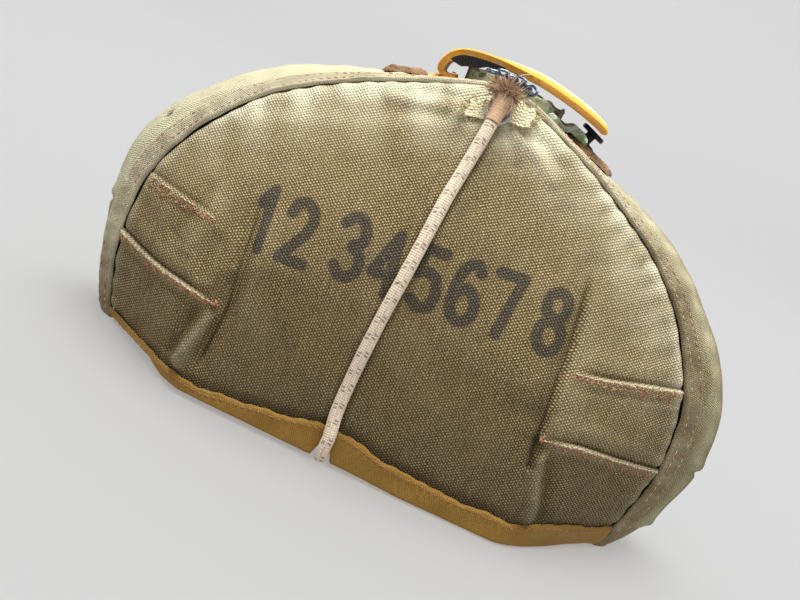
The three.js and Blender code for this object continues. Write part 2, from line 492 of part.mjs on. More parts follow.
// ---------------------------------------------------------------- cap chain
{
  const LI = 4.4, W = 1.15, HW = 1.75; // inner length, wire, half width of the centre line
  const PATH = new THREE.CatmullRomCurve3([V(-12.5, 43.5, 171.6), V(-7, 43.2, 172.4), V(-1, 42.2, 172.9), V(4, 39.8, 172.6), V(8, 36, 171.2), V(11, 32.6, 168.6), V(13, 30.3, 165.4)]);
  const len = PATH.getLength(), pitch = LI - 0.45, count = 6;
  for (let k = 0; k < count; k++) {
    const u = (pitch * (k + 0.5) + 0.4) / len;
    const c = PATH.getPointAt(u), d = PATH.getTangentAt(u);
    const side0 = V(0, -0.5, 0.86).cross(d).normalize(), up0 = d.clone().cross(side0).normalize();
    const side = (k % 2 ? side0.clone().add(up0) : side0.clone().sub(up0)).normalize();
    const hl = LI / 2 + W / 2 - HW, pts = [];
    for (let i = 0; i < 12; i++) {
      const a = Math.PI * 2 * i / 12, ca = Math.cos(a), sa = Math.sin(a);
      pts.push(c.clone().addScaledVector(d, Math.sign(ca) * hl * (Math.abs(ca) > 0.01 ? 1 : 0) + HW * ca).addScaledVector(side, HW * sa));
    }
    const up = d.clone().cross(side).normalize(), g = [];
    for (let i = 0; i < pts.length; i++) {
      const a = pts[(i + pts.length - 1) % pts.length], b = pts[(i + 1) % pts.length];
      const tan = b.clone().sub(a).normalize(), out = tan.clone().cross(up).normalize(), ring = [];
      for (let j = 0; j < 6; j++) {
        const q = Math.PI * 2 * j / 6;
        ring.push(pts[i].clone().addScaledVector(out, W / 2 * Math.cos(q)).addScaledVector(up, W / 2 * Math.sin(q)));
      }
      g.push(ring);
    }
    const pos = [], idx = [], R = g.length;
    for (const r of g) for (const p of r) pos.push(p.x, p.y, p.z);
    for (let i = 0; i < R; i++) for (let j = 0; j < 6; j++) {
      const a = i * 6 + j, b = i * 6 + (j + 1) % 6, e = ((i + 1) % R) * 6 + j, f = ((i + 1) % R) * 6 + (j + 1) % 6;
      idx.push(a, b, f, a, f, e);
    }
    add(`chain_link_${k + 1}`, fromIndexed(pos, idx), 0x2b3346, 0.25, 1);
  }
}

// ---------------------------------------------------------------- cord, patches, eyelets, whippings
function patchOn(yOf, x0, x1, z0, z1, lo, hi) {
  const g = [];
  for (let i = 0; i <= 5; i++) {
    const row = [];
    for (let j = 0; j <= 3; j++) { const x = x0 + (x1 - x0) * i / 5, z = z0 + (z1 - z0) * j / 3; row.push(V(x, yOf(x, z), z)); }
    g.push(row);
  }
  return layer(g, lo, hi, INSIDE);
}
const PATCH_HI = GAP + 1.2;
add('patch_front', patchOn(frontY, -15.5, 10.5, 149.5, 162.5, GAP, PATCH_HI), 0xe1d796, 0.9);
add('patch_back', patchOn(backY, -20, 5.5, 138, 151, GAP, PATCH_HI), 0xe1d796, 0.9);
function surfaceFrame(yOf, x, z, dir) {
  const h = 2, y = yOf(x, z);
  const tz = V(0, yOf(x, z + h) - yOf(x, z - h), 2 * h).normalize(), tx = V(2 * h, yOf(x + h, z) - yOf(x - h, z), 0).normalize();
  const n = tx.clone().cross(tz).normalize();
  if (n.y * dir > 0) n.negate(); // dir +1 front: normal to -Y
  return { p: V(x, y, z), n, tz };
}
const EYE_F = surfaceFrame(frontY, -2.6, 156.2, 1), EYE_B = surfaceFrame(backY, CORD_X, 144.5, -1);
const EY0 = PATCH_HI + 0.35, EY1 = PATCH_HI + 1.5;
const eyeletProfile = [[3.4, EY0], [6.6, EY0], [6.6, EY1 - 0.4], [6.0, EY1], [4.2, EY1], [3.4, EY1 - 0.4], [3.4, EY0]];
add('eyelet_front', latheAlong(eyeletProfile, 20, EYE_F.p, EYE_F.n), 0xb8bcc2, 0.3, 1);
add('eyelet_back', latheAlong(eyeletProfile, 20, EYE_B.p, EYE_B.n), 0xb8bcc2, 0.3, 1);

const CLEAR = CORD_R + 0.4;
const onFront = (x, z, o) => { const f = surfaceFrame(frontY, x, z, 1); return f.p.addScaledVector(f.n, o); };
const onBack = (x, z, o) => { const f = surfaceFrame(backY, x, z, -1); return f.p.addScaledVector(f.n, o); };
const cordX = (z) => CORD_X - 1.2 * smooth(0, 50, z) + 1.2 * smooth(60, 110, z) + 3.4 * smooth(105, 158, z);
const tapeClear = CLEAR + 2.2;
const CORD_ROUTE = [
  onFront(cordX(147), 147, 7.0), onFront(cordX(141), 141, 5.2), onFront(cordX(132), 132, CLEAR + 0.2), onFront(cordX(118), 118, CLEAR),
  onFront(cordX(102), 102, CLEAR), onFront(cordX(86), 86, CLEAR), onFront(cordX(70), 70, CLEAR), onFront(cordX(54), 54, CLEAR), onFront(cordX(38), 38, CLEAR), onFront(cordX(24), 24, CLEAR + 0.4),
  onFront(CORD_X, 14, tapeClear), V(CORD_X, -5.3, 8.4), V(CORD_X, -3.8, 4.6), V(CORD_X, 0.4, 2.85), V(CORD_X, 8, 2.8), V(CORD_X, 24, 2.8), V(CORD_X, 44, 2.8),
  V(CORD_X, 64, 2.8), V(CORD_X, 82, 2.8), V(CORD_X, 90, 2.85), V(CORD_X, 94.8, 4.6), V(CORD_X, 96.4, 8.6), onBack(CORD_X, 14, tapeClear), onBack(CORD_X, 26, CLEAR + 0.4), onBack(CORD_X, 44, CLEAR), onBack(CORD_X, 64, CLEAR), onBack(CORD_X, 84, CLEAR), onBack(CORD_X, 104, CLEAR),
  onBack(CORD_X, 120, CLEAR + 0.2), onBack(CORD_X, 128, 5.2), onBack(CORD_X, 134.5, 7.2),
];
{
  const section = new THREE.Shape();
  for (let i = 0; i < 8; i++) { const a = Math.PI * 2 * i / 8; section[i ? 'lineTo' : 'moveTo'](CORD_R * Math.cos(a), CORD_R * Math.sin(a)); }
  const path = new THREE.CatmullRomCurve3(CORD_ROUTE, false, 'centripetal');
  add('shock_cord', new THREE.ExtrudeGeometry(section, { steps: 54, bevelEnabled: false, extrudePath: path }), 0xe1cdb9, 0.9);
}
function whip(p0, p1) {
  const axis = p1.clone().sub(p0), len = axis.length();
  axis.normalize();
  return { axis, len, body: latheAlong([[0, 0.8], [2.7, 0.8], [3.4, 3], [3.5, len * 0.7], [3.0, len], [0, len]], 14, p0, axis) };
}
const WF0 = CORD_ROUTE[0], WF1 = onFront(-2.7, 161.5, 8.4);
const wf = whip(WF0, WF1);
add('cord_whipping_front', wf.body, 0xbe966e, 0.9);
add('cord_tuft', latheAlong([[0, 0.35], [2.9, 0.35], [4.4, 3.4], [6.0, 7.2], [3.2, 9.4], [0, 9.8]], 14, WF1, WF1.clone().sub(WF0).normalize()), 0x966e46, 1);
const WB0 = CORD_ROUTE[CORD_ROUTE.length - 1];
add('cord_whipping_back', whip(WB0, onBack(CORD_X, 149, 8.2)).body, 0xbe966e, 0.9);

// ---------------------------------------------------------------- belt loops on the back
for (const [name, sx] of [['belt_loop_left', -1], ['belt_loop_right', 1]]) {
  const L = BELT_LOOP, y0 = BACK_FLAT_Y + GAP, t = L.thick, g = L.gap, sh = new THREE.Shape();
  const pts = [
    [y0, L.z0], [y0 + t, L.z0], [y0 + t, L.z0 + 9], [y0 + g + t, L.z0 + 21], [y0 + g + t, L.z1 - 21], [y0 + t, L.z1 - 9], [y0 + t, L.z1], [y0, L.z1],
    [y0, L.z1 - 10], [y0 + g, L.z1 - 22], [y0 + g, L.z0 + 22], [y0, L.z0 + 10],
  ];
  pts.forEach(([a, b], i) => (i ? sh.lineTo(a, b) : sh.moveTo(a, b)));
  sh.closePath();
  // extrude along X: shape x -> Y, shape y -> Z
  const e = new THREE.ExtrudeGeometry(sh, { depth: L.w, bevelEnabled: false });
  e.applyMatrix4(new THREE.Matrix4().set(0, 0, 1, sx * L.x - L.w / 2, 1, 0, 0, 0, 0, 1, 0, 0, 0, 0, 0, 1));
  add(name, e, 0x6d6144, 0.9);
}

// ---------------------------------------------------------------- origin at the bottom centre
{
  canteen.updateMatrixWorld(true);
  const b = new THREE.Box3().setFromObject(shell);
  shell.position.set(-(b.min.x + b.max.x) / 2, -(b.min.y + b.max.y) / 2, -b.min.z);
}

export default canteen;
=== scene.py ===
# Half-moon canteen in a canvas cover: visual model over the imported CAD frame.
import bpy
import json
import math
import numpy as np
from mathutils import Matrix, Vector

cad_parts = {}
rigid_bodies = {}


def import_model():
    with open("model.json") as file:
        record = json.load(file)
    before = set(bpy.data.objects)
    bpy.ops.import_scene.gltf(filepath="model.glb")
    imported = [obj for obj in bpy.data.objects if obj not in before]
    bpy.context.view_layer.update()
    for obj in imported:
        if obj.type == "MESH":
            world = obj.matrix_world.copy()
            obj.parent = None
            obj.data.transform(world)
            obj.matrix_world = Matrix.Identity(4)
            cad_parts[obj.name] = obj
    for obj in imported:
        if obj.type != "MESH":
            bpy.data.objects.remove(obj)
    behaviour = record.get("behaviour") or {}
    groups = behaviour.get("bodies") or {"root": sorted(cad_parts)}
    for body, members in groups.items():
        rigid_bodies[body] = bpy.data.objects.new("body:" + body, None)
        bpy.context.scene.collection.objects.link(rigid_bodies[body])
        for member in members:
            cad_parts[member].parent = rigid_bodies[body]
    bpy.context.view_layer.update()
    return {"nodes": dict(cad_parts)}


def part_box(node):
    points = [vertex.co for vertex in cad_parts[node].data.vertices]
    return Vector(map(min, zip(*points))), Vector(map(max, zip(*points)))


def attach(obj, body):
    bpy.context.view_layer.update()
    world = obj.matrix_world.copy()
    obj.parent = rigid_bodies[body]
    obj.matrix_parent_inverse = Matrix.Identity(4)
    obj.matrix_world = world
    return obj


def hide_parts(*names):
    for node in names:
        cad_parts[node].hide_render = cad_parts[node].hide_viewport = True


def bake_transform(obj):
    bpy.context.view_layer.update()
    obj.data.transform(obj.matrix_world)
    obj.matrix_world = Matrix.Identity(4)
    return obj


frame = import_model()
ROOT = "cover_and_bottle"
RNG = np.random.default_rng(4711)

# The design frame is in millimetres with y = 0 at the front plane; the row frame is in metres, centred.
YC = float(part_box("belt_loop_left")[1][1]) * 1000 - (91 + 0.35 + 7 + 2)


def row(p):
    p = np.array(p, float).reshape(-1, 3).copy()
    p[:, 1] += YC
    return p / 1000


def lin(r, g, b):
    c = np.array([r, g, b], float) / 255
    c = np.where(c <= 0.04045, c / 12.92, ((c + 0.055) / 1.055) ** 2.4)
    return (float(c[0]), float(c[1]), float(c[2]), 1.0)


# ------------------------------------------------------------------ surfaces of the cover
SEAM_HALF = [(122, 0), (126, 9), (128.7, 19.5), (130.6, 30), (131.7, 42), (131.5, 54), (130.2, 64),
             (127.9, 73.5), (124.2, 83.5), (119, 93), (112.3, 103), (104.6, 112.8), (96.2, 121.2),
             (87.2, 128.6), (76.8, 135.8), (65, 142.6), (52.5, 149), (40, 154.6), (28, 159.6),
             (17, 163.6), (8, 166.4), (0, 167.4)]
SEAM_FRONT_Y = [(0, 36), (0.2, 38), (0.5, 42), (0.8, 44), (1, 46)]
SEAM_BACK_Y = 88.0
BACK_SCALE = 0.985
GUSSET_BULGE = [(0, 1.5), (0.12, 2.2), (0.22, 5), (0.31, 8.7), (0.41, 12.5), (0.5, 15), (0.6, 19), (0.7, 20.7), (0.8, 20.7), (0.9, 18), (1, 15)]
DOME_WIDTH = [(0, 108), (0.2, 100), (0.4, 80), (0.6, 62), (0.8, 54), (1, 50)]
DOME_POWER = [(0, 2), (0.3, 1.9), (0.6, 1.5), (0.8, 1.3), (1, 1.3)]
BACK_FLAT_Y = 91.0

def smooth(a, b, v):
    t = np.clip((np.asarray(v, float) - a) / (b - a), 0, 1)
    return t * t * (3 - 2 * t)

def table(tab, u):
    xs = np.array([p[0] for p in tab], float); ys = np.array([p[1] for p in tab], float)
    u = np.clip(u, xs[0], xs[-1])
    i = np.clip(np.searchsorted(xs, u, side='left'), 1, len(xs) - 1)
    k = (u - xs[i - 1]) / (xs[i] - xs[i - 1])
    s = k * k * (3 - 2 * k) * 0.4 + k * 0.6
    return ys[i - 1] + (ys[i] - ys[i - 1]) * s

def catmull(p, per):
    p = np.array(p, float)
    q = np.vstack([2 * p[0] - p[1], p, 2 * p[-1] - p[-2]])
    out = []
    t = (np.arange(per) / per)[:, None]
    for i in range(len(p) - 1):
        a, b, c, d = q[i], q[i + 1], q[i + 2], q[i + 3]
        out.append(0.5 * (2 * b + (c - a) * t + (2 * a - 5 * b + 4 * c - d) * t ** 2 + (3 * b - a - 3 * c + d) * t ** 3))
    out.append(p[-1:])
    return np.vstack(out)

SEAM_PTS = catmull([(-x, z) for x, z in SEAM_HALF] + [(x, z) for x, z in SEAM_HALF[:-1][::-1]], 12)
SEAM_S = np.concatenate([[0], np.cumsum(np.hypot(*np.diff(SEAM_PTS, axis=0).T))])
SEAM_LEN = SEAM_S[-1]
_tan = np.gradient(SEAM_PTS, axis=0)
_k = np.ones(9) / 9
_tan = np.stack([np.convolve(np.pad(_tan[:, j], 4, mode='edge'), _k, 'valid') for j in (0, 1)], 1)
_n = np.stack([-_tan[:, 1], _tan[:, 0]], 1); _n /= np.linalg.norm(_n, axis=1, keepdims=True)
_low = _n[:, 1] < 0
_n[_low, 1] *= smooth(0, 30, SEAM_PTS[_low, 1])
SEAM_N = _n / np.linalg.norm(_n, axis=1, keepdims=True)

def seam(t):
    s = np.clip(np.asarray(t, float), 0, 1) * SEAM_LEN
    x = np.interp(s, SEAM_S, SEAM_PTS[:, 0]); z = np.interp(s, SEAM_S, SEAM_PTS[:, 1])
    nx = np.interp(s, SEAM_S, SEAM_N[:, 0]); nz = np.interp(s, SEAM_S, SEAM_N[:, 1])
    m = np.hypot(nx, nz)
    return x, z, nx / m, nz / m, np.abs(2 * np.asarray(t, float) - 1)

def nearest(x, z):
    x = np.asarray(x, float); z = np.asarray(z, float)
    sh = x.shape; x = x.ravel(); z = z.ravel()
    D = np.empty(len(x)); S = np.empty(len(x))
    A = SEAM_PTS[:-1]; E = SEAM_PTS[1:] - A; L2 = (E ** 2).sum(1)
    for k in range(0, len(x), 4000):
        px = x[k:k + 4000, None]; pz = z[k:k + 4000, None]
        w = np.clip(((px - A[:, 0]) * E[:, 0] + (pz - A[:, 1]) * E[:, 1]) / L2, 0, 1)
        dx = A[:, 0] + w * E[:, 0] - px; dz = A[:, 1] + w * E[:, 1] - pz
        d2 = dx * dx + dz * dz; i = d2.argmin(1); r = np.arange(len(i))
        D[k:k + 4000] = np.sqrt(d2[r, i]); S[k:k + 4000] = SEAM_S[i] + w[r, i] * (SEAM_S[i + 1] - SEAM_S[i])
    return D.reshape(sh), (S / SEAM_LEN).reshape(sh)

def front_y(x, z):
    x = np.asarray(x, float)
    d, t = nearest(x, z); u = np.abs(2 * t - 1)
    e = np.clip(1 - d / table(DOME_WIDTH, u), 0, 1)
    return table(SEAM_FRONT_Y, u) * e ** table(DOME_POWER, u) + 3 * (x / 100) ** 2 * (1 - e)

def back_y(x, z):
    d, _ = nearest(np.asarray(x) / BACK_SCALE, np.asarray(z) / BACK_SCALE)
    return SEAM_BACK_Y + (BACK_FLAT_Y - SEAM_BACK_Y) * smooth(0, 24, d)

def gusset(t, s):
    x, z, nx, nz, u = seam(t)
    yf = table(SEAM_FRONT_Y, u); k = 1 + (BACK_SCALE - 1) * s
    b = table(GUSSET_BULGE, u) * np.maximum(0, 4 * s * (1 - s)) ** 0.85
    return np.stack([x * k + nx * b, yf + (SEAM_BACK_Y - yf) * s, z * k + nz * b], -1)


# ------------------------------------------------------------------ mesh helpers
INSIDE = np.array([0.0, 58.0, 60.0])


def unit(v):
    return v / np.maximum(np.linalg.norm(v, axis=-1, keepdims=True), 1e-12)


def grid_normals(G, wrap=False, wrap2=False):
    du = (np.roll(G, -1, 0) - np.roll(G, 1, 0)) if wrap else np.gradient(G, axis=0)
    dv = (np.roll(G, -1, 1) - np.roll(G, 1, 1)) if wrap2 else np.gradient(G, axis=1)
    return unit(np.cross(du, dv))


def outward(G, c=INSIDE, **k):
    n = grid_normals(G, **k)
    if (n * (G - c)).sum() < 0:
        n = -n
    return n


def grid_quads(R, C, wrap=False, wrap2=False):
    i = np.arange(R if wrap else R - 1)[:, None]
    j = np.arange(C if wrap2 else C - 1)[None, :]
    i2, j2 = (i + 1) % R, (j + 1) % C
    return np.stack([i * C + j, i2 * C + j, i2 * C + j2, i * C + j2], -1).reshape(-1, 4)


def volume(V, Q):
    a, b, c, d = (V[Q[:, k]] for k in range(4))
    return float((a * np.cross(b, c)).sum() + (a * np.cross(c, d)).sum())


def shell(A, B, Q):
    """A closed sheet: outer points A, inner points B, faces Q on both, and a rim along every open edge."""
    N = len(A)
    e = np.concatenate([Q[:, [0, 1]], Q[:, [1, 2]], Q[:, [2, 3]], Q[:, [3, 0]]])
    key = np.sort(e, 1)
    _, first, cnt = np.unique(key[:, 0].astype(np.int64) * N + key[:, 1], return_index=True, return_counts=True)
    r = e[first[cnt == 1]]
    V = np.vstack([A, B])
    F = np.vstack([Q, Q[:, ::-1] + N, np.stack([r[:, 1], r[:, 0], r[:, 0] + N, r[:, 1] + N], 1)])
    if volume(V, F) < 0:
        F = F[:, ::-1]
    return V, F


def make(name, V, Q, mat, body=ROOT, uv=None, attrs=None, tris=None, angle=50, stands_for=(), slot=None, flat=False):
    me = bpy.data.meshes.new(name)
    P = row(V)
    Q = np.asarray(Q, np.int64).reshape(-1, 4)
    loops = Q.ravel()
    starts = np.arange(len(Q)) * 4
    if tris is not None and len(tris):
        T = np.asarray(tris, np.int64)
        starts = np.concatenate([starts, len(loops) + np.arange(len(T)) * 3])
        loops = np.concatenate([loops, T.ravel()])
    me.vertices.add(len(P))
    me.vertices.foreach_set("co", P.astype(np.float32).ravel())
    me.loops.add(len(loops))
    me.loops.foreach_set("vertex_index", loops.astype(np.int32))
    me.polygons.add(len(starts))
    me.polygons.foreach_set("loop_start", starts.astype(np.int32))
    me.update(calc_edges=True)
    if uv is None:
        uv = np.asarray(V, float)[:, [0, 2]]
    lay = me.uv_layers.new(name="UV")
    lay.data.foreach_set("uv", np.asarray(uv, np.float32)[loops].ravel())
    for k, a in (attrs or {}).items():
        me.attributes.new(k, "FLOAT", "POINT").data.foreach_set("value", np.asarray(a, np.float32).ravel())
    if not flat:
        me.shade_smooth()
        me.set_sharp_from_angle(angle=math.radians(angle))
    ob = bpy.data.objects.new(name, me)
    bpy.context.scene.collection.objects.link(ob)
    me.materials.append(mat)
    if body:
        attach(ob, body)
    if stands_for:
        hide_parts(*([stands_for] if isinstance(stands_for, str) else stands_for))
    return ob


def cloth(ob, G, with_pieces=()):
    """Says that a piece is a sheet of cloth; G is the grid of its outer face, in millimetres, from which its flat size is taken."""
    a, b = G[1:, :-1] - G[:-1, :-1], G[:-1, 1:] - G[:-1, :-1]
    area = np.linalg.norm(np.cross(a, b), axis=-1).sum()
    w = np.linalg.norm(np.diff(G, axis=0), axis=-1).sum(0).max(); l = np.linalg.norm(np.diff(G, axis=1), axis=-1).sum(1).max()
    w, l = max(w, 10.05), max(l, 10.05)
    area = min(max(area, 0.305 * w * l), w * l)
    SHEETS.append((ob.name, round(w, 1), round(l, 1), round(area / 100, 1)))


SHEETS = []


def lathe(profile, n, origin, axis, bumps=None, power=1):
    """profile [(radius, height)], closed on itself when its first and last points match."""
    P = np.array(profile, float)
    axis = np.array(axis, float) / np.linalg.norm(axis)
    a = np.cross(axis, [0.31, 0.87, 0.12]); a /= np.linalg.norm(a); b = np.cross(axis, a)
    th = np.arange(n) / n * 2 * np.pi
    closed = np.allclose(P[0], P[-1])
    if closed:
        P = P[:-1]
    r = P[:, 0][:, None] * np.ones(n)
    if bumps is not None:
        r = r + bumps(P, th)
    G = (np.array(origin, float) + axis * P[:, 1][:, None, None]
         + r[..., None] * (np.cos(th)[None, :, None] * a + np.sin(th)[None, :, None] * b))
    V = G.reshape(-1, 3)
    Q = grid_quads(len(P), n, wrap=closed, wrap2=True)
    uv = np.stack([(th[None, :] * np.maximum(P[:, 0], 1)[:, None]).ravel(), np.repeat(P[:, 1] + P[:, 0], n)], 1)
    if volume(V, Q) < 0:
        Q = Q[:, ::-1]
    return V, Q, uv


def round_profile(P, r=0.35, n=3):
    """Rounds the corners of a closed profile."""
    P = np.array(P, float)
    if np.allclose(P[0], P[-1]):
        P = P[:-1]
    out = []
    for i in range(len(P)):
        a, b, c = P[i - 1], P[i], P[(i + 1) % len(P)]
        if b[0] < 1e-6:
            out.append(b); continue
        da, dc = np.linalg.norm(a - b), np.linalg.norm(c - b)
        q = min(r, da * 0.45, dc * 0.45)
        p0, p2 = b + (a - b) / da * q, b + (c - b) / dc * q
        for k in range(n + 1):
            t = k / n
            out.append((1 - t) ** 2 * p0 + 2 * t * (1 - t) * b + t * t * p2)
    out.append(out[0])
    return np.array(out)


def centripetal(P, n):
    """n points spaced evenly by length on a centripetal Catmull-Rom curve through P."""
    P = np.array(P, float)
    q = np.vstack([2 * P[0] - P[1], P, 2 * P[-1] - P[-2]])
    out = []
    for i in range(1, len(q) - 2):
        p0, p1, p2, p3 = q[i - 1], q[i], q[i + 1], q[i + 2]
        d0, d1, d2 = (max(np.linalg.norm(b - a) ** 0.5, 1e-4) for a, b in ((p0, p1), (p1, p2), (p2, p3)))
        t1 = ((p1 - p0) / d0 - (p2 - p0) / (d0 + d1) + (p2 - p1) / d1) * d1
        t2 = ((p2 - p1) / d1 - (p3 - p1) / (d1 + d2) + (p3 - p2) / d2) * d1
        t = (np.arange(40) / 40)[:, None]
        c2, c3 = -3 * p1 + 3 * p2 - 2 * t1 - t2, 2 * p1 - 2 * p2 + t1 + t2
        out.append(p1 + t1 * t + c2 * t ** 2 + c3 * t ** 3)
    out = np.vstack(out + [P[-1:]])
    s = np.concatenate([[0], np.cumsum(np.linalg.norm(np.diff(out, axis=0), axis=1))])
    k = np.linspace(0, s[-1], n)
    return np.stack([np.interp(k, s, out[:, j]) for j in range(3)], 1), s[-1]


def frames(L, up=(0.0, 0.0, 1.0)):
    """Tangent and two normals along a line, without twist."""
    T = unit(np.gradient(L, axis=0))
    a = np.cross(T[0], up)
    if np.linalg.norm(a) < 0.1:
        a = np.cross(T[0], (1.0, 0.0, 0.0))
    A = [a / np.linalg.norm(a)]
    for t in T[1:]:
        v = A[-1] - t * (A[-1] @ t)
        A.append(v / np.linalg.norm(v))
    A = np.array(A)
    return T, A, np.cross(T, A)


def tube(L, radius, n, up=(0.0, 0.0, 1.0), caps=True):
    """A tube of n sides; radius is a number, a list along the line, or a grid along and round it."""
    T, A, B = frames(L, up)
    th = np.arange(n) / n * 2 * np.pi
    r = np.broadcast_to(np.asarray(radius, float).reshape(-1, 1) if np.ndim(radius) == 1 else radius, (len(L), n))
    G = L[:, None] + r[..., None] * (np.cos(th)[None, :, None] * A[:, None] + np.sin(th)[None, :, None] * B[:, None])
    s = np.concatenate([[0], np.cumsum(np.linalg.norm(np.diff(L, axis=0), axis=1))])
    V = G.reshape(-1, 3)
    Q = grid_quads(len(L), n, wrap2=True)
    uv = np.stack([np.tile(th * r.mean(), len(L)), np.repeat(s, n)], 1)
    tris = []
    if caps:
        V = np.vstack([V, L[:1], L[-1:]])
        uv = np.vstack([uv, [[0, 0]], [[0, s[-1]]]])
        c0, c1, last = len(V) - 2, len(V) - 1, (len(L) - 1) * n
        for j in range(n):
            k = (j + 1) % n
            tris += [(c0, k, j), (c1, last + j, last + k)]
    tris = np.array(tris, int).reshape(-1, 3)
    if volume(V[:len(L) * n], Q) < 0:
        Q = Q[:, ::-1]
        tris = tris[:, ::-1]
    return V, Q, uv, tris


def seg_dist(x, z, poly):
    """(distance, signed side, share along, distance along) of points to a polyline; the side is positive on its left."""
    P = np.array(poly, float)
    S = np.concatenate([[0], np.cumsum(np.hypot(*np.diff(P, axis=0).T))])
    best = np.full(np.shape(x), 1e9); side = np.zeros(np.shape(x)); al = np.zeros(np.shape(x))
    for i in range(len(P) - 1):
        ex, ez = P[i + 1] - P[i]; L = math.hypot(ex, ez)
        wx, wz = x - P[i, 0], z - P[i, 1]
        k = np.clip((wx * ex + wz * ez) / (L * L), 0, 1)
        d = np.hypot(wx - k * ex, wz - k * ez)
        m = d < best
        best = np.where(m, d, best)
        side = np.where(m, np.sign(ex * wz - ez * wx), side)
        al = np.where(m, S[i] + k * L, al)
    return best, side * best, al / S[-1], al


def curve2(poly, per=8):
    return catmull(np.array(poly, float), per)


class Strands:
    """Many thin threads, stitches or fibres, merged into one mesh."""
    def __init__(self):
        self.V, self.Q, self.T, self.c, self.uv, self.n = [], [], [], [], [], 0

    def add(self, L, r, shade, sides=5, flat=1.0, normal=None):
        L = np.asarray(L, float)
        T = unit(np.gradient(L, axis=0))
        up = np.broadcast_to(np.array([0.2, -1, 0.3]) if normal is None else normal, L.shape)
        A = unit(np.cross(T, up)); B = np.cross(A, T)
        th = np.arange(sides) / sides * 2 * np.pi
        r = np.broadcast_to(r, (len(L),))
        G = L[:, None] + r[:, None, None] * (np.cos(th)[None, :, None] * A[:, None] + flat * np.sin(th)[None, :, None] * B[:, None])
        V = np.vstack([G.reshape(-1, 3), L[:1], L[-1:]])
        Q = grid_quads(len(L), sides, wrap2=True)
        c0, c1, last = len(V) - 2, len(V) - 1, (len(L) - 1) * sides
        T3 = np.array([(c0, (j + 1) % sides, j) for j in range(sides)] + [(c1, last + j, last + (j + 1) % sides) for j in range(sides)])
        if volume(V, Q) < 0:
            Q, T3 = Q[:, ::-1], T3[:, ::-1]
        self.V.append(V); self.Q.append(Q + self.n); self.T.append(T3 + self.n)
        self.c.append(np.full(len(V), shade))
        s = np.concatenate([np.repeat(np.arange(len(L)), sides), [0, len(L) - 1]]) * 0.5
        self.uv.append(np.stack([np.concatenate([np.tile(th, len(L)), [0, 0]]) * 0.3, s], 1))
        self.n += len(V)

    def stitch(self, p, d, n, length, w, h, shade):
        """One stitch: a short bent capsule that dips into the cloth at both ends."""
        t = np.linspace(-1, 1, 7)
        L = p + d * (t * length / 2)[:, None] + n * (h * (1 - t ** 2) - 0.25 * h)[:, None]
        self.add(L, w / 2 * np.sqrt(np.clip(1.04 - t ** 2, 0.08, 1)), shade, sides=6, flat=0.8, normal=n)

    def build(self, name, mat, **k):
        return make(name, np.vstack(self.V), np.vstack(self.Q), mat, tris=np.vstack(self.T), uv=np.vstack(self.uv),
                    attrs={"shade": np.concatenate(self.c)}, angle=80, **k)


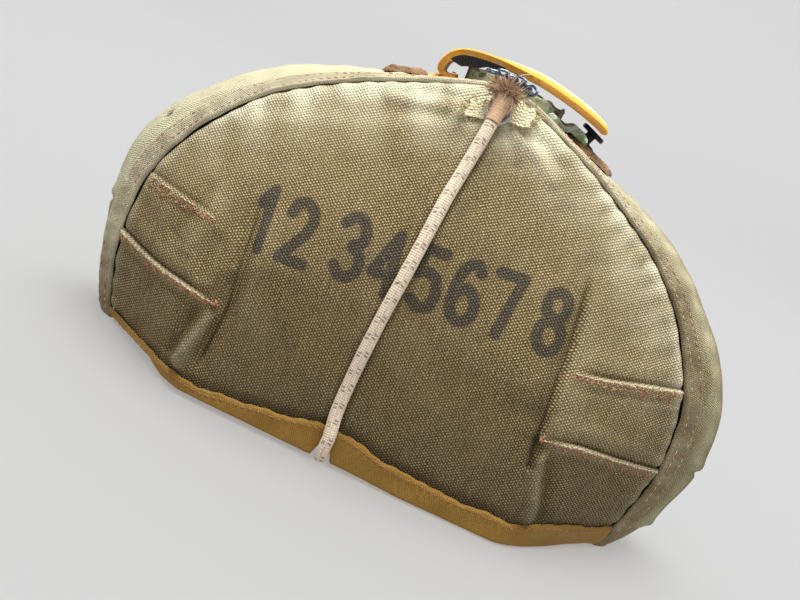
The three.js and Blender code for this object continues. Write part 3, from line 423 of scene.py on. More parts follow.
# ------------------------------------------------------------------ materials
class Mat:
    def __init__(self, name, rough=0.9, **sockets):
        self.m = bpy.data.materials.new(name)
        self.m.use_nodes = True
        self.t = self.m.node_tree
        self.t.nodes.clear()
        self.out = self.t.nodes.new("ShaderNodeOutputMaterial")
        self.p = self.t.nodes.new("ShaderNodeBsdfPrincipled")
        self.t.links.new(self.p.outputs[0], self.out.inputs[0])
        self.p.inputs["Roughness"].default_value = rough
        for k, v in sockets.items():
            self.p.inputs[k.replace("_", " ")].default_value = v

    def put(self, sock, v):
        if isinstance(v, bpy.types.NodeSocket):
            self.t.links.new(v, sock)
        else:
            sock.default_value = v

    def math(self, op, a, b=0.0, c=0.0, clamp=False):
        n = self.t.nodes.new("ShaderNodeMath"); n.operation = op; n.use_clamp = clamp
        for i, v in enumerate((a, b, c)):
            self.put(n.inputs[i], v)
        return n.outputs[0]

    def mix(self, f, a, b, mode="MIX"):
        n = self.t.nodes.new("ShaderNodeMix"); n.data_type = "RGBA"; n.blend_type = mode; n.clamp_factor = True
        self.put(n.inputs[0], f); self.put(n.inputs[6], a); self.put(n.inputs[7], b)
        return n.outputs[2]

    def ramp(self, f, *stops, kind="LINEAR"):
        n = self.t.nodes.new("ShaderNodeValToRGB"); n.color_ramp.interpolation = kind
        e = n.color_ramp.elements
        while len(e) < len(stops):
            e.new(0.5)
        for k, (pos, c) in enumerate(stops):
            e[k].position = pos; e[k].color = c if hasattr(c, "__len__") else (c, c, c, 1)
        self.put(n.inputs[0], f)
        return n.outputs[0]

    def attr(self, name):
        n = self.t.nodes.new("ShaderNodeAttribute"); n.attribute_name = name
        return n.outputs["Fac"]

    def uv(self):
        n = self.t.nodes.new("ShaderNodeUVMap"); n.uv_map = "UV"
        s = self.t.nodes.new("ShaderNodeSeparateXYZ"); self.t.links.new(n.outputs[0], s.inputs[0])
        return n.outputs[0], s.outputs[0], s.outputs[1]

    def obj(self):
        return self.t.nodes.new("ShaderNodeTexCoord").outputs["Object"]

    def scaled(self, vec, sx, sy, sz=1.0):
        n = self.t.nodes.new("ShaderNodeVectorMath"); n.operation = "MULTIPLY"
        self.t.links.new(vec, n.inputs[0]); n.inputs[1].default_value = (sx, sy, sz)
        return n.outputs[0]

    def noise(self, vec, scale, detail=3.0, rough=0.55, distortion=0.0):
        n = self.t.nodes.new("ShaderNodeTexNoise")
        self.t.links.new(vec, n.inputs["Vector"])
        n.inputs["Scale"].default_value = scale; n.inputs["Detail"].default_value = detail
        n.inputs["Roughness"].default_value = rough; n.inputs["Distortion"].default_value = distortion
        return n.outputs["Fac"]

    def voronoi(self, vec, scale, out="Color", feature="F1"):
        n = self.t.nodes.new("ShaderNodeTexVoronoi"); n.feature = feature
        self.t.links.new(vec, n.inputs["Vector"]); n.inputs["Scale"].default_value = scale
        return n.outputs[out]

    def bump(self, h, dist, strength=1.0, normal=None):
        n = self.t.nodes.new("ShaderNodeBump")
        n.inputs["Strength"].default_value = strength; n.inputs["Distance"].default_value = dist
        self.t.links.new(h, n.inputs["Height"])
        if normal is not None:
            self.t.links.new(normal, n.inputs["Normal"])
        return n.outputs[0]

    def color(self, c):
        self.put(self.p.inputs["Base Color"], c)
        return self

    def normal(self, n):
        self.t.links.new(n, self.p.inputs["Normal"])
        return self


def weave(M, a, b, wobble=0.22):
    """Height -1..1 of a plain weave in millimetres: warp columns of width a along V, crowns b apart and staggered."""
    uv, u, v = M.uv()
    w = M.math("MULTIPLY", M.math("SUBTRACT", M.noise(uv, 0.35, 2.0), 0.5), wobble * 6)
    w2 = M.math("MULTIPLY", M.math("SUBTRACT", M.noise(M.scaled(uv, 1.0, 0.3), 1.1, 1.0), 0.5), wobble)
    u = M.math("ADD", M.math("ADD", u, w2), w)
    v = M.math("ADD", v, M.math("MULTIPLY", w, 0.8))
    cu = M.math("COSINE", M.math("MULTIPLY", u, math.pi / a))
    cv = M.math("COSINE", M.math("MULTIPLY", v, 2 * math.pi / b))
    cc = M.math("COSINE", M.math("MULTIPLY", u, 2 * math.pi / a))
    return uv, M.math("ADD", M.math("MULTIPLY", M.math("MULTIPLY", cu, cv), 0.72), M.math("MULTIPLY", cc, 0.28))


def canvas_material(name, gap, mid, crown, pale, green=0.0, ink=False, a=1.03, b=1.42, bump=0.28, wobble=0.22):
    M = Mat(name, rough=0.93, Sheen_Weight=0.05, Sheen_Roughness=0.6, Specular_IOR_Level=0.12, Sheen_Tint=(1.0, 0.9, 0.7, 1.0))
    uv, h = weave(M, a, b, wobble)
    hn = M.math("MULTIPLY_ADD", h, 0.5, 0.5)
    yarn = M.noise(M.scaled(uv, 0.97, 0.08), 1.0, 2.0, 0.6)   # along the warp
    spot = M.noise(uv, 0.8, 3.0, 0.7)
    t = M.math("ADD", hn, M.math("MULTIPLY", M.math("SUBTRACT", yarn, 0.5), 0.35))
    t = M.math("ADD", t, M.math("MULTIPLY", M.math("SUBTRACT", spot, 0.5), 0.6), clamp=True)
    col = M.ramp(t, (0.12, gap), (0.5, mid), (0.86, crown))
    big = M.noise(uv, 0.022, 5.0, 0.62)
    col = M.mix(M.ramp(big, (0.3, 0.0), (0.72, 0.6)), col, M.mix(0.5, col, lin(158, 138, 96)), "MIX")
    dirt = M.noise(M.scaled(uv, 1.0, 0.7), 0.055, 6.0, 0.7, 0.4)
    col = M.mix(M.ramp(dirt, (0.52, 0.0), (0.78, 0.55)), col, M.mix(hn, lin(62, 54, 38), lin(98, 86, 62)))
    # paler cloth: worn places together with painted highlight on the top and upper left
    wear_and_highlight = M.attr("wear_and_highlight")
    col = M.mix(wear_and_highlight, col, M.mix(M.math("MULTIPLY_ADD", t, 0.7, 0.3, clamp=True), M.mix(0.5, mid, pale), pale))
    if ink:
        k = M.math("MULTIPLY", M.attr("ink"), M.ramp(M.math("ADD", M.math("MULTIPLY", spot, 0.75), M.math("MULTIPLY", hn, 0.2)), (0.28, 1.0), (0.66, 0.62)))
        col = M.mix(k, col, M.mix(hn, lin(40, 38, 37), lin(82, 77, 72)))
    # painted shade in creases, folds and grooves, along the seam, beside the cord and above the hem tape, and darker
    # towards the bottom
    dark = M.attr("dark")
    col = M.mix(dark, col, M.mix(0.9, col, lin(22, 18, 11)))
    M.color(col)
    n = M.bump(h, bump * 0.001, 0.9)
    M.normal(M.bump(M.noise(uv, 0.6, 4.0, 0.6), 0.0003, 0.6, n))
    return M.m


def webbing_material(name, low, high, edge=None, pitch=1.5, cross=2.6, bump=0.22, rough=0.8, sheen=0.1, attr=None, lining=False):
    M = Mat(name, rough=rough, Sheen_Weight=sheen, Specular_IOR_Level=0.25)
    uv, h = weave(M, pitch, cross, 0.12)
    hn = M.math("MULTIPLY_ADD", h, 0.5, 0.5)
    sp = M.noise(uv, 0.7, 3.0, 0.65)
    t = M.math("ADD", hn, M.math("MULTIPLY", M.math("SUBTRACT", sp, 0.5), 0.7), clamp=True)
    col = M.ramp(t, (0.1, low), (0.85, high))
    big = M.noise(uv, 0.06, 4.0, 0.6)
    col = M.mix(M.ramp(big, (0.4, 0.0), (0.75, 0.45)), col, low)
    # paler: for the binding worn cloth with painted highlight, for the strap the painted highlight on its top face
    if attr:
        col = M.mix(M.attr(attr), col, M.mix(M.math("MULTIPLY", t, 0.8), tuple(x * 0.72 for x in edge[:3]) + (1,), edge))
    # painted shade: the inside of the strap's loop is coloured near black
    if lining:
        col = M.mix(M.attr("lining"), col, M.mix(hn, lin(12, 12, 13), lin(44, 43, 42)))
    M.color(col)
    M.normal(M.bump(M.math("ADD", h, M.math("MULTIPLY", sp, 0.6)), bump * 0.001, 0.9))
    return M.m


def thread_material(name, dark, light, mid=None):
    M = Mat(name, rough=0.85, Sheen_Weight=0.15, Specular_IOR_Level=0.3)
    uv, u, v = M.uv()
    c = M.ramp(M.attr("shade"), (0.0, dark), (0.5, mid or M_mid(dark, light)), (1.0, light))
    c = M.mix(M.math("MULTIPLY", M.noise(M.obj(), 900.0, 2.0), 0.5), c, dark)
    M.color(c)
    tw = M.math("SINE", M.math("ADD", M.math("MULTIPLY", v, 9.0), M.math("MULTIPLY", u, 10.0)))
    M.normal(M.bump(tw, 0.00008, 0.7))
    return M.m


def M_mid(a, b):
    return tuple((x + y) / 2 for x, y in zip(a, b))


def metal_material(name, base, rough=0.35, stain=None, metallic=1.0, coat=0.0, scratch=1.0):
    M = Mat(name, rough=rough, Metallic=metallic, Coat_Weight=coat)
    o = M.obj()
    n1, n2 = M.noise(o, 160.0, 5.0, 0.65), M.noise(M.scaled(o, 1.0, 1.0, 6.0), 420.0, 3.0, 0.6)
    M.color(M.mix(M.ramp(n1, (0.42, 0.0), (0.75, 0.75)), base, stain or tuple(x * 0.45 for x in base[:3]) + (1,)))
    M.put(M.p.inputs["Roughness"], M.math("ADD", M.math("MULTIPLY", n2, 0.3), rough - 0.1))
    M.normal(M.bump(M.math("ADD", n1, n2), 0.00006 * scratch, 0.5))
    return M.m


# ------------------------------------------------------------------ camera
def set_camera():
    pitch, yaw, roll = (math.radians(a) for a in (-13.792, -0.289, 25.155))
    fw = np.array([math.sin(yaw) * math.cos(pitch), math.cos(yaw) * math.cos(pitch), math.sin(pitch)])
    r = unit(np.cross(fw, [0, 0, 1.0])); u = np.cross(r, fw)
    R, U = r * math.cos(roll) + u * math.sin(roll), -r * math.sin(roll) + u * math.cos(roll)
    cam = bpy.data.cameras.new("camera"); cam.sensor_width = 36; cam.lens = 963.5 / 800 * 36
    cam.clip_start, cam.clip_end = 0.01, 50
    ob = bpy.data.objects.new("camera", cam)
    bpy.context.scene.collection.objects.link(ob)
    m = Matrix([[R[i], U[i], -fw[i], 0] for i in range(3)] + [[0, 0, 0, 1]])
    loc = row([(-2.985, -370, 167.988)])[0]
    ob.matrix_world = Matrix.Translation(Vector(loc)) @ m
    bpy.context.scene.camera = ob


set_camera()

# ------------------------------------------------------------------ materials of the pieces
# the last colour is the pale of worn cloth and of painted highlight
canvas = canvas_material("canvas", lin(48, 37, 19), lin(121, 102, 67), lin(203, 183, 138), lin(236, 230, 200), ink=True, bump=0.36)
canvas_side = canvas_material("canvas_side", lin(78, 70, 46), lin(136, 124, 92), lin(192, 180, 140), lin(226, 222, 190), a=0.78, b=1.1, bump=0.24)
canvas_back = canvas_material("canvas_back", lin(60, 53, 36), lin(118, 108, 78), lin(176, 164, 124), lin(190, 183, 146))
# edge colour: the pale of painted highlight, mixed with worn cloth on the binding
binding = webbing_material("binding", lin(88, 74, 48), lin(168, 150, 112), edge=lin(226, 218, 186), pitch=0.55, cross=0.9, bump=0.16, attr="pale")
tape = webbing_material("hem_tape", lin(122, 92, 34), lin(182, 140, 68), pitch=0.7, cross=0.8, bump=0.07, rough=0.85)
felt = webbing_material("felt", lin(118, 114, 104), lin(150, 146, 136), pitch=1.9, cross=1.7, bump=0.3, rough=1.0)
# the strap's edge colour is the painted highlight on its top face; its near-black lining colour is painted shade
strap_mat = webbing_material("strap_webbing", lin(236, 146, 22), lin(255, 192, 66), edge=lin(255, 244, 206), pitch=1.1, cross=1.6, bump=0.16, rough=0.6, attr="pale", lining=True)
patch_mat = webbing_material("patch_webbing", lin(206, 192, 146), lin(250, 243, 216), pitch=1.0, cross=1.3, bump=0.3)
loop_mat = webbing_material("loop_webbing", lin(84, 75, 50), lin(140, 128, 92), pitch=1.4, cross=2.0, bump=0.25)
stitch_mat = thread_material("stitches", lin(178, 112, 70), lin(232, 214, 180), lin(214, 158, 116))
whip_mat = thread_material("whipping", lin(176, 126, 88), lin(255, 226, 194), lin(238, 200, 164))
tuft_mat = thread_material("tuft", lin(128, 88, 54), lin(250, 230, 198), lin(212, 170, 128))
fray_mat = thread_material("fray", lin(160, 140, 84), lin(240, 230, 190), lin(212, 198, 140))


def cloth_yoke():
    M = Mat("yoke_cloth", rough=0.95, Sheen_Weight=0.1)
    uv, h = weave(M, 0.8, 1.0)
    n = M.noise(M.obj(), 70.0, 5.0, 0.65)
    M.color(M.mix(M.ramp(n, (0.35, 0.0), (0.65, 1.0)), lin(74, 48, 30), lin(164, 128, 88)))
    M.normal(M.bump(M.math("ADD", h, M.noise(uv, 0.5, 4.0)), 0.0002, 0.9))
    return M.m


def camo_cloth():
    M = Mat("camo", rough=0.95, Sheen_Weight=0.1)
    o = M.obj()
    uv, h = weave(M, 0.6, 0.8)
    a = M.noise(M.scaled(o, 1.0, 1.0, 1.6), 62.0, 2.0, 0.5, 1.2)
    b = M.noise(M.scaled(o, 1.0, 1.0, 1.6), 96.0, 2.0, 0.5, 1.5)
    col = M.mix(M.ramp(a, (0.475, 0.0), (0.5, 1.0)), lin(168, 178, 150), lin(62, 88, 48))
    col = M.mix(M.ramp(b, (0.56, 0.0), (0.58, 1.0)), col, lin(24, 24, 22))
    col = M.mix(M.math("MULTIPLY", M.noise(uv, 0.7, 3.0), 0.35), col, lin(190, 190, 170))
    M.color(col)
    M.normal(M.bump(h, 0.00012, 0.8))
    return M.m


def cord_sleeve():
    M = Mat("cord_sleeve", rough=0.8, Sheen_Weight=0.15)
    uv, u, v = M.uv()
    k = math.pi / 1.02
    s1 = M.math("SINE", M.math("MULTIPLY", M.math("ADD", u, v), k))
    s2 = M.math("SINE", M.math("MULTIPLY", M.math("SUBTRACT", u, v), k))
    braid = M.math("MULTIPLY", s1, s2)
    n = M.noise(uv, 1.4, 3.0, 0.7)
    col = M.ramp(M.math("ADD", M.math("MULTIPLY_ADD", braid, 0.35, 0.5), M.math("MULTIPLY", M.math("SUBTRACT", n, 0.5), 0.9)),
                 (0.1, lin(208, 178, 146)), (0.5, lin(244, 224, 198)), (0.95, lin(255, 243, 226)))
    soil = M.noise(uv, 0.08, 4.0, 0.6)
    col = M.mix(M.ramp(soil, (0.5, 0.0), (0.8, 0.35)), col, lin(206, 170, 136))
    col = M.mix(M.attr("fleck"), col, lin(26, 24, 34))
    M.color(col)
    M.normal(M.bump(M.math("ADD", braid, M.math("MULTIPLY", n, 0.7)), 0.00011, 0.8))
    return M.m


yoke_mat, camo, cord_mat = cloth_yoke(), camo_cloth(), cord_sleeve()
alloy = metal_material("alloy", lin(178, 180, 182), 0.42, lin(120, 118, 112))
steel = metal_material("eyelet_steel", lin(196, 198, 204), 0.25, lin(92, 88, 84))
chain_mat = metal_material("chain_steel", lin(112, 126, 152), 0.18, lin(40, 46, 62), coat=0.3)
stud_mat = metal_material("stud_metal", lin(34, 36, 40), 0.3, lin(16, 16, 18), metallic=0.8)


def plastic(name, base, rough):
    M = Mat(name, rough=rough)
    n = M.noise(M.obj(), 260.0, 4.0, 0.7)
    M.color(M.mix(M.ramp(n, (0.45, 0.0), (0.8, 0.5)), base, tuple(min(1, x * 1.9 + 0.01) for x in base[:3]) + (1,)))
    M.normal(M.bump(n, 0.00006, 0.4))
    return M.m


cap_mat, seal_mat = plastic("cap_plastic", lin(26, 27, 30), 0.42), plastic("seal", lin(110, 62, 44), 0.8)

# ------------------------------------------------------------------ measured lines on the cover (x, z)
HEM_TOP = [(-122, 2.9), (-115, 4.7), (-103, 6.9), (-94, 6.8), (-76, 7.5), (-64, 6.8), (-55, 8.1), (-46, 9.2), (-38, 10.7), (-29, 11.7),
           (-21, 13.9), (-12, 15.9), (-5, 16.5), (6, 14.9), (16, 12.4), (25, 11.6), (34, 11.6), (44, 10.4), (53, 10.4), (62, 11), (71, 11),
           (79, 10.6), (89, 13.2), (98, 13.5), (108, 12.8), (123, 12.5)]
HEM_LOW = [(-123, 2.4), (-102, 3.6), (-90, 3.9), (-82, 1.6), (-73, 1.7), (0, 1.5), (12, 1.2), (28, 0.4), (58, 0.3), (84, 0.1), (95, 0.8), (104, 1.6), (123, 1.8)]
DARTS = {  # seam end first; the stitched lip lies below the line
    "dart_left_upper": ([(-127.0, 71.0), (-112, 71.6), (-98, 72.2), (-86.5, 72.5)], 0.45, 0),
    "dart_left_lower": ([(-131.0, 41.6), (-115, 41.3), (-100, 42.0), (-90, 42.9), (-80, 43.2), (-72, 42.9)], 1.25, 1),
    "dart_right_upper": ([(124.6, 83.6), (112, 83.0), (101, 82.2), (82, 79.9), (71, 78.8)], 0.95, 0),
    "dart_right_lower": ([(131.0, 46.3), (120, 47.7), (108.5, 49.3), (96, 51.0), (87, 51.8), (78, 51.2), (70.5, 50.1)], 1.15, 1),
}
# path, depth in millimetres (negative goes in), half width, softness of the two sides
FOLDS = [
    ([(-72.5, 92), (-71.5, 78), (-69.5, 62.7), (-67.4, 46.6), (-67.2, 37.5), (-68.6, 22.5), (-70, 10)], -3.4, 4.0, 1.5),
    ([(-69.2, 74), (-67.4, 62), (-65.6, 48), (-66.2, 34)], -1.6, 1.5, 0),
    ([(-70.5, 45), (-72.5, 32), (-76, 18.6), (-79, 7)], 3.0, 3.4, 0),
    ([(-78.5, 42), (-81.5, 26), (-86, 10)], -2.2, 4.4, 0),
    ([(-96, 86), (-99, 72), (-104, 52)], -1.1, 4.5),
    ([(-88, 84), (-91, 66), (-93, 50)], 0.9, 4.5),
    ([(-83, 70), (-84, 58), (-81, 47)], -0.9, 4.0),
    ([(-104, 38), (-103, 22), (-98, 8)], -0.8, 6.0),
    ([(60, 120), (62, 112), (63.6, 104), (65.7, 90), (66.7, 74), (68.3, 57.5), (69.4, 48.6), (70.4, 42), (72.4, 34)], -2.4, 1.7, 1.9),
    ([(60.5, 104), (62, 84), (63.4, 66), (65.4, 50)], -1.5, 5.5, 0),
    ([(72.5, 48), (74.5, 40), (77.5, 30), (81, 20), (83, 9)], 2.2, 2.6, 0),
    ([(77.5, 47), (81, 36), (86, 23), (89, 12)], -1.9, 3.8, 0),
    ([(69.6, 50), (70.6, 42), (72.0, 34)], -2.6, 2.0, 0),
    ([(106, 42), (113, 38), (121, 33)], -1.0, 3.2),
    ([(104, 100), (110, 84), (114, 66)], -0.5, 6.0),
    # pressed wrinkles near the crown
    ([(-15, 152.5), (-24, 150.5), (-36, 148.0), (-50, 143.5)], 0.85, 2.6),
    ([(-16, 149), (-27, 146.0), (-40, 141.5)], -0.75, 2.8),
    ([(-14, 157.0), (-26, 155.5), (-38, 152.3)], -0.6, 1.8),
    ([(2, 153.5), (8, 150.5), (13, 145.5), (15.5, 139)], -0.9, 2.4),
    ([(9, 153.0), (15, 151.5), (23, 148.0), (35, 140.0)], 0.9, 2.6),
    ([(13, 156.5), (22, 153.6), (36, 147.0)], -0.7, 2.2),
    ([(-1, 149.0), (-1.5, 142.0), (-1, 132)], -0.6, 2.4),
    ([(-12, 148.0), (-13.5, 138), (-14, 128)], -0.6, 2.6),
    ([(-30, 143), (-46, 136), (-62, 126)], -0.5, 5.0),
    ([(34, 137), (50, 128), (64, 116)], -0.6, 5.0),
]
SIDE_LINES = {"faint_stitches_right": [(78, 121), (85.5, 113.5), (95.7, 99.8), (103, 85), (106, 77), (109.5, 67), (111, 56)],
              "faint_stitches_left": [(-97, 103), (-103, 94), (-111, 77), (-114, 63), (-113, 46), (-109, 26)]}


def interp(tab, x):
    return np.interp(x, [a for a, _ in tab], [b for _, b in tab])


CORD_X = -7.2
CORD_R = 2.8


def cord_x(z):
    return CORD_X - 1.2 * smooth(0, 50, z) + 1.2 * smooth(60, 110, z) + 3.4 * smooth(105, 158, z) + np.interp(z, [0, 35, 61, 78, 100, 120, 147, 165], [-0.9, -0.9, -0.3, 0.5, 1.2, 1.6, 2.4, 3.0])


def waves(x, z, n, lmin, lmax, seed):
    """Smooth random relief, about -1..1."""
    r = np.random.default_rng(seed); h = 0
    for _ in range(n):
        L = r.uniform(lmin, lmax); a = r.uniform(0, np.pi); p = r.uniform(0, 2 * np.pi)
        h = h + np.sin(2 * np.pi * (x * np.cos(a) + z * np.sin(a)) / L + p)
    return h / math.sqrt(n)


def front_relief(x, z):
    """(outward relief in millimetres, painted shade 0..1) of the front panel."""
    h = 0.22 * waves(x, z, 9, 26, 60, 3) + 0.07 * waves(x, z, 9, 6, 14, 5)
    dark = np.zeros_like(h)
    d, t = nearest(x, z)
    # puckers along the seam
    sm = t * SEAM_LEN
    ph = 0.9 * np.sin(sm / 31 + 1) + 0.6 * np.sin(sm / 17)
    h += 0.42 * np.sin(2 * np.pi * sm / 10.5 + 2.2 * ph) * np.exp(-((d - 4) / 5.5) ** 2) * (0.6 + 0.4 * np.sin(sm / 23 + 0.7))
    h -= 0.8 * np.exp(-(d / 1.0) ** 2)          # turned-in edge at the seam
    h += 0.45 * np.exp(-((d - 3.2) / 2.2) ** 2)   # and the roll beside it
    # painted shade in the crease along the seam
    dark += 0.7 * np.exp(-(d / 0.6) ** 2)
    for poly, depth, w, *more in FOLDS:
        step = more[0] if more else 0
        dd, s, k, al = seg_dist(x, z, curve2(poly))
        env = smooth(0.0, 0.22, k) * smooth(1.0, 0.84, k)
        end = np.exp(-np.clip(dd / w, 0, 9) ** 2)
        h += depth * end * env
        if step:      # the cloth on the right stands over the fold
            h += step * env * smooth(-0.5, 0.9, s) * np.exp(-np.clip(s, 0, None) / 7.5) * (dd < 40)
            # painted shadow beside the raised side of the step, fading out away from it
            dark += 0.5 * env * np.exp(-((s + 0.25) / 0.75) ** 2) + 0.22 * env * np.exp(-np.clip(-s, 0, None) / 3.5) * (s < 0)
        elif depth < -0.8:
            # painted shade in the deeper folds
            dark += np.clip(-depth / 2.6, 0, 1) * 0.36 * np.exp(-(dd / (w * 0.5)) ** 2) * env
    for name, (poly, lip, knot) in DARTS.items():
        P = curve2(poly)
        dd, s, k, al = seg_dist(x, z, P)
        if poly[0][0] < 0:
            s = s            # running right: positive is above the line
        else:
            s = -s           # running left: positive is below, so turn it round
        env = smooth(1.03, 0.72, k) * np.where(dd < 25, 1, 0)
        past = np.where(k >= 1, np.exp(-(dd / 3) ** 2), 1) * np.where(k <= 0, np.exp(-(dd / 4) ** 2), 1)
        below = np.clip(-s, 0, None); above = np.clip(s, 0, None)
        prof = np.where(s < 0, np.exp(-(below / 5.5) ** 1.4), np.exp(-(above / 0.55) ** 2))
        h += lip * env * past * prof
        h -= 0.75 * lip * env * past * np.exp(-((s - 1.1) / 0.9) ** 2)
        h -= 0.5 * lip * env * past * np.exp(-((s + 5.6) / 1.6) ** 2)
        h += 0.5 * lip * env * past * np.exp(-((s - 6.0) / 4.0) ** 2)
        # painted shade: a dark line in the groove above the lip
        dark += min(1, lip) * 0.6 * env * past * np.exp(-((s - 0.75) / 0.42) ** 2)
        # small gathers across the stitching
        h += 0.16 * lip * past * env * np.sin(2 * np.pi * al / 4.3 + 1.3 * np.sin(al / 3)) * np.exp(-((s + 2.5) / 4.5) ** 2)
        if knot:
            ax, az = P[-1]
            r = np.hypot(x - ax, z - az)
            h += 0.8 * np.exp(-(r / 1.6) ** 2) - 1.0 * np.exp(-(((x - ax + np.sign(ax) * -0.6) / 3.0) ** 2 + ((z - az + 3.4) / 3.6) ** 2))
            # painted shade in the pocket beside the dart's end
            dark += 0.2 * np.exp(-(((x - ax + np.sign(ax) * 0.4) / 1.6) ** 2 + ((z - az + 2.6) / 2.0) ** 2))
    # the cord presses a shallow groove and raises the cloth beside it
    c = x - cord_x(z)
    h += -0.7 * np.exp(-(c / 2.9) ** 2) + 0.45 * np.exp(-((np.abs(c) - 5.2) / 2.2) ** 2)
    # painted shade along the groove under the cord
    dark += 0.4 * np.exp(-(c / 3.2) ** 4) * smooth(170, 140, z)
    # pinched round the eyelet
    r = np.hypot((x + 2.6) / 1.3, z - 157.0)
    h += 0.5 * np.exp(-((r - 11) / 3.0) ** 2) - 0.5 * np.exp(-((r - 6.5) / 2.2) ** 2)
    # drawn in above the hem tape
    dz = z - interp(HEM_TOP, x)
    h -= 0.6 * np.exp(-((dz - 1.0) / 2.0) ** 2)
    # painted shade just above the hem tape
    dark += 0.34 * np.exp(-np.clip(dz, 0, None) / 5.0) * smooth(-95, -30, x) * smooth(105, 60, x) + 0.25 * np.exp(-np.clip(dz, 0, None) / 1.6)
    # the lower part is painted darker: shade from the light above, together with some soil
    dark += 0.24 * smooth(80, 12, z) * (0.1 + 0.9 * smooth(-95, -55, x)) + 0.06 * smooth(40, 90, np.abs(x + 5)) * smooth(80, 20, z)
    # no fold reaches the lining
    h = np.where(h < -1.5, -1.5 - 1.15 * np.tanh((-1.5 - h) / 1.15), h)
    return h, np.clip(dark, 0, 0.92)


def arch_grid(nu, nv, inset, z0, scale, y_of):
    tA = 0.155
    def q(t):
        x, z, nx, nz, _ = seam(t)
        return np.stack([(x - nx * inset) * scale, np.maximum(z0, (z - nz * inset) * scale)], -1)
    t0 = 0.0
    while float(seam(t0)[1]) * scale < z0 and t0 < 0.2:
        t0 += 0.0005
    w = np.linspace(0, 1, nu + 1)[:, None, None]; v = np.linspace(0, 1, nv + 1)[None, :, None]
    L, R, T = q(t0 + (tA - t0) * v[..., 0]), q(1 - t0 - (tA - t0) * v[..., 0]), q(tA + (1 - 2 * tA) * w[..., 0])
    l0, r0, l1, r1 = L[:, :1], R[:, :1], L[:, -1:], R[:, -1:]
    k = w * 0.75 + 0.25 * (w - np.sin(4 * np.pi * w) / (4 * np.pi))
    B = np.concatenate([l0[..., :1] + (r0[..., :1] - l0[..., :1]) * k, np.full_like(k, z0)], -1)
    P = (1 - v) * B + v * T + (1 - w) * L + w * R - ((1 - w) * (1 - v) * l0 + w * (1 - v) * r0 + (1 - w) * v * l1 + w * v * r1)
    return np.stack([P[..., 0], y_of(P[..., 0], P[..., 1]), P[..., 1]], -1)


# ------------------------------------------------------------------ digits on the front
GLYPHS = {
    "1": ([(-.30, .76), (0.06, 1.0), (0.06, 0)], 0), "2": ([(-.48, .76), (-.36, .93), (0, 1), (.38, .9), (.46, .72), (.30, .5), (-.5, 0.0), (.5, 0.0)], 0),
    "3": ([(-.45, .86), (-.2, .98), (.15, .99), (.42, .84), (.38, .62), (.05, .53), (.4, .42), (.47, .2), (.2, .02), (-.2, .01), (-.47, .14)], 1),
    "4": ([(.24, 0), (.24, 1), (-.5, .3), (.52, .3)], 0), "5": ([(.45, 1), (-.4, 1), (-.43, .57), (-.1, .64), (.3, .57), (.47, .3), (.3, .05), (-.1, 0), (-.46, .12)], 0),
    "6": ([(.42, .88), (.15, 1), (-.25, .88), (-.46, .5), (-.42, .15), (0, 0), (.42, .14), (.44, .4), (.1, .56), (-.3, .5), (-.45, .34)], 1),
    "7": ([(-.48, 1), (.48, 1), (-.06, 0)], 0),
    "8": ([(0, .54), (-.38, .66), (-.38, .9), (0, 1), (.38, .9), (.38, .66), (0, .54), (-.45, .4), (-.45, .13), (0, 0), (.45, .13), (.45, .4), (0, .54)], 1),
}
NUMBER = "12345678"
PLACES = [(-68, 81.7), (-53, 83.5), (-31.4, 87.0), (-15.6, 87.6), (1.6, 88.6), (17.4, 90.1), (33.8, 92.0), (54.4, 93.4)]


def ink_map(x, z):
    ink = np.zeros_like(x)
    for ch, (cx, cz) in zip(NUMBER, PLACES):
        P, smoothed = GLYPHS[ch]
        P = np.array(P)
        if smoothed:
            P = catmull(P, 6)
        w, h = 10.2, 23.2
        X = cx + P[:, 0] * w * 0.99 - (P[:, 1] - 0.5) * h * 0.145
        Z = cz + P[:, 0] * w * 0.09 + (P[:, 1] - 0.5) * h * 0.99
        near = (np.abs(x - cx) < 14) & (np.abs(z - cz) < 20)
        dd = seg_dist(x[near], z[near], np.stack([X, Z], 1))[0]
        ink[near] = np.maximum(ink[near], smooth(2.75, 1.95, dd))
    return ink


# ------------------------------------------------------------------ front and back panels
def dist_uv(x, z, lean=0.0):
    return np.stack([x + lean * z, z - lean * x], -1)


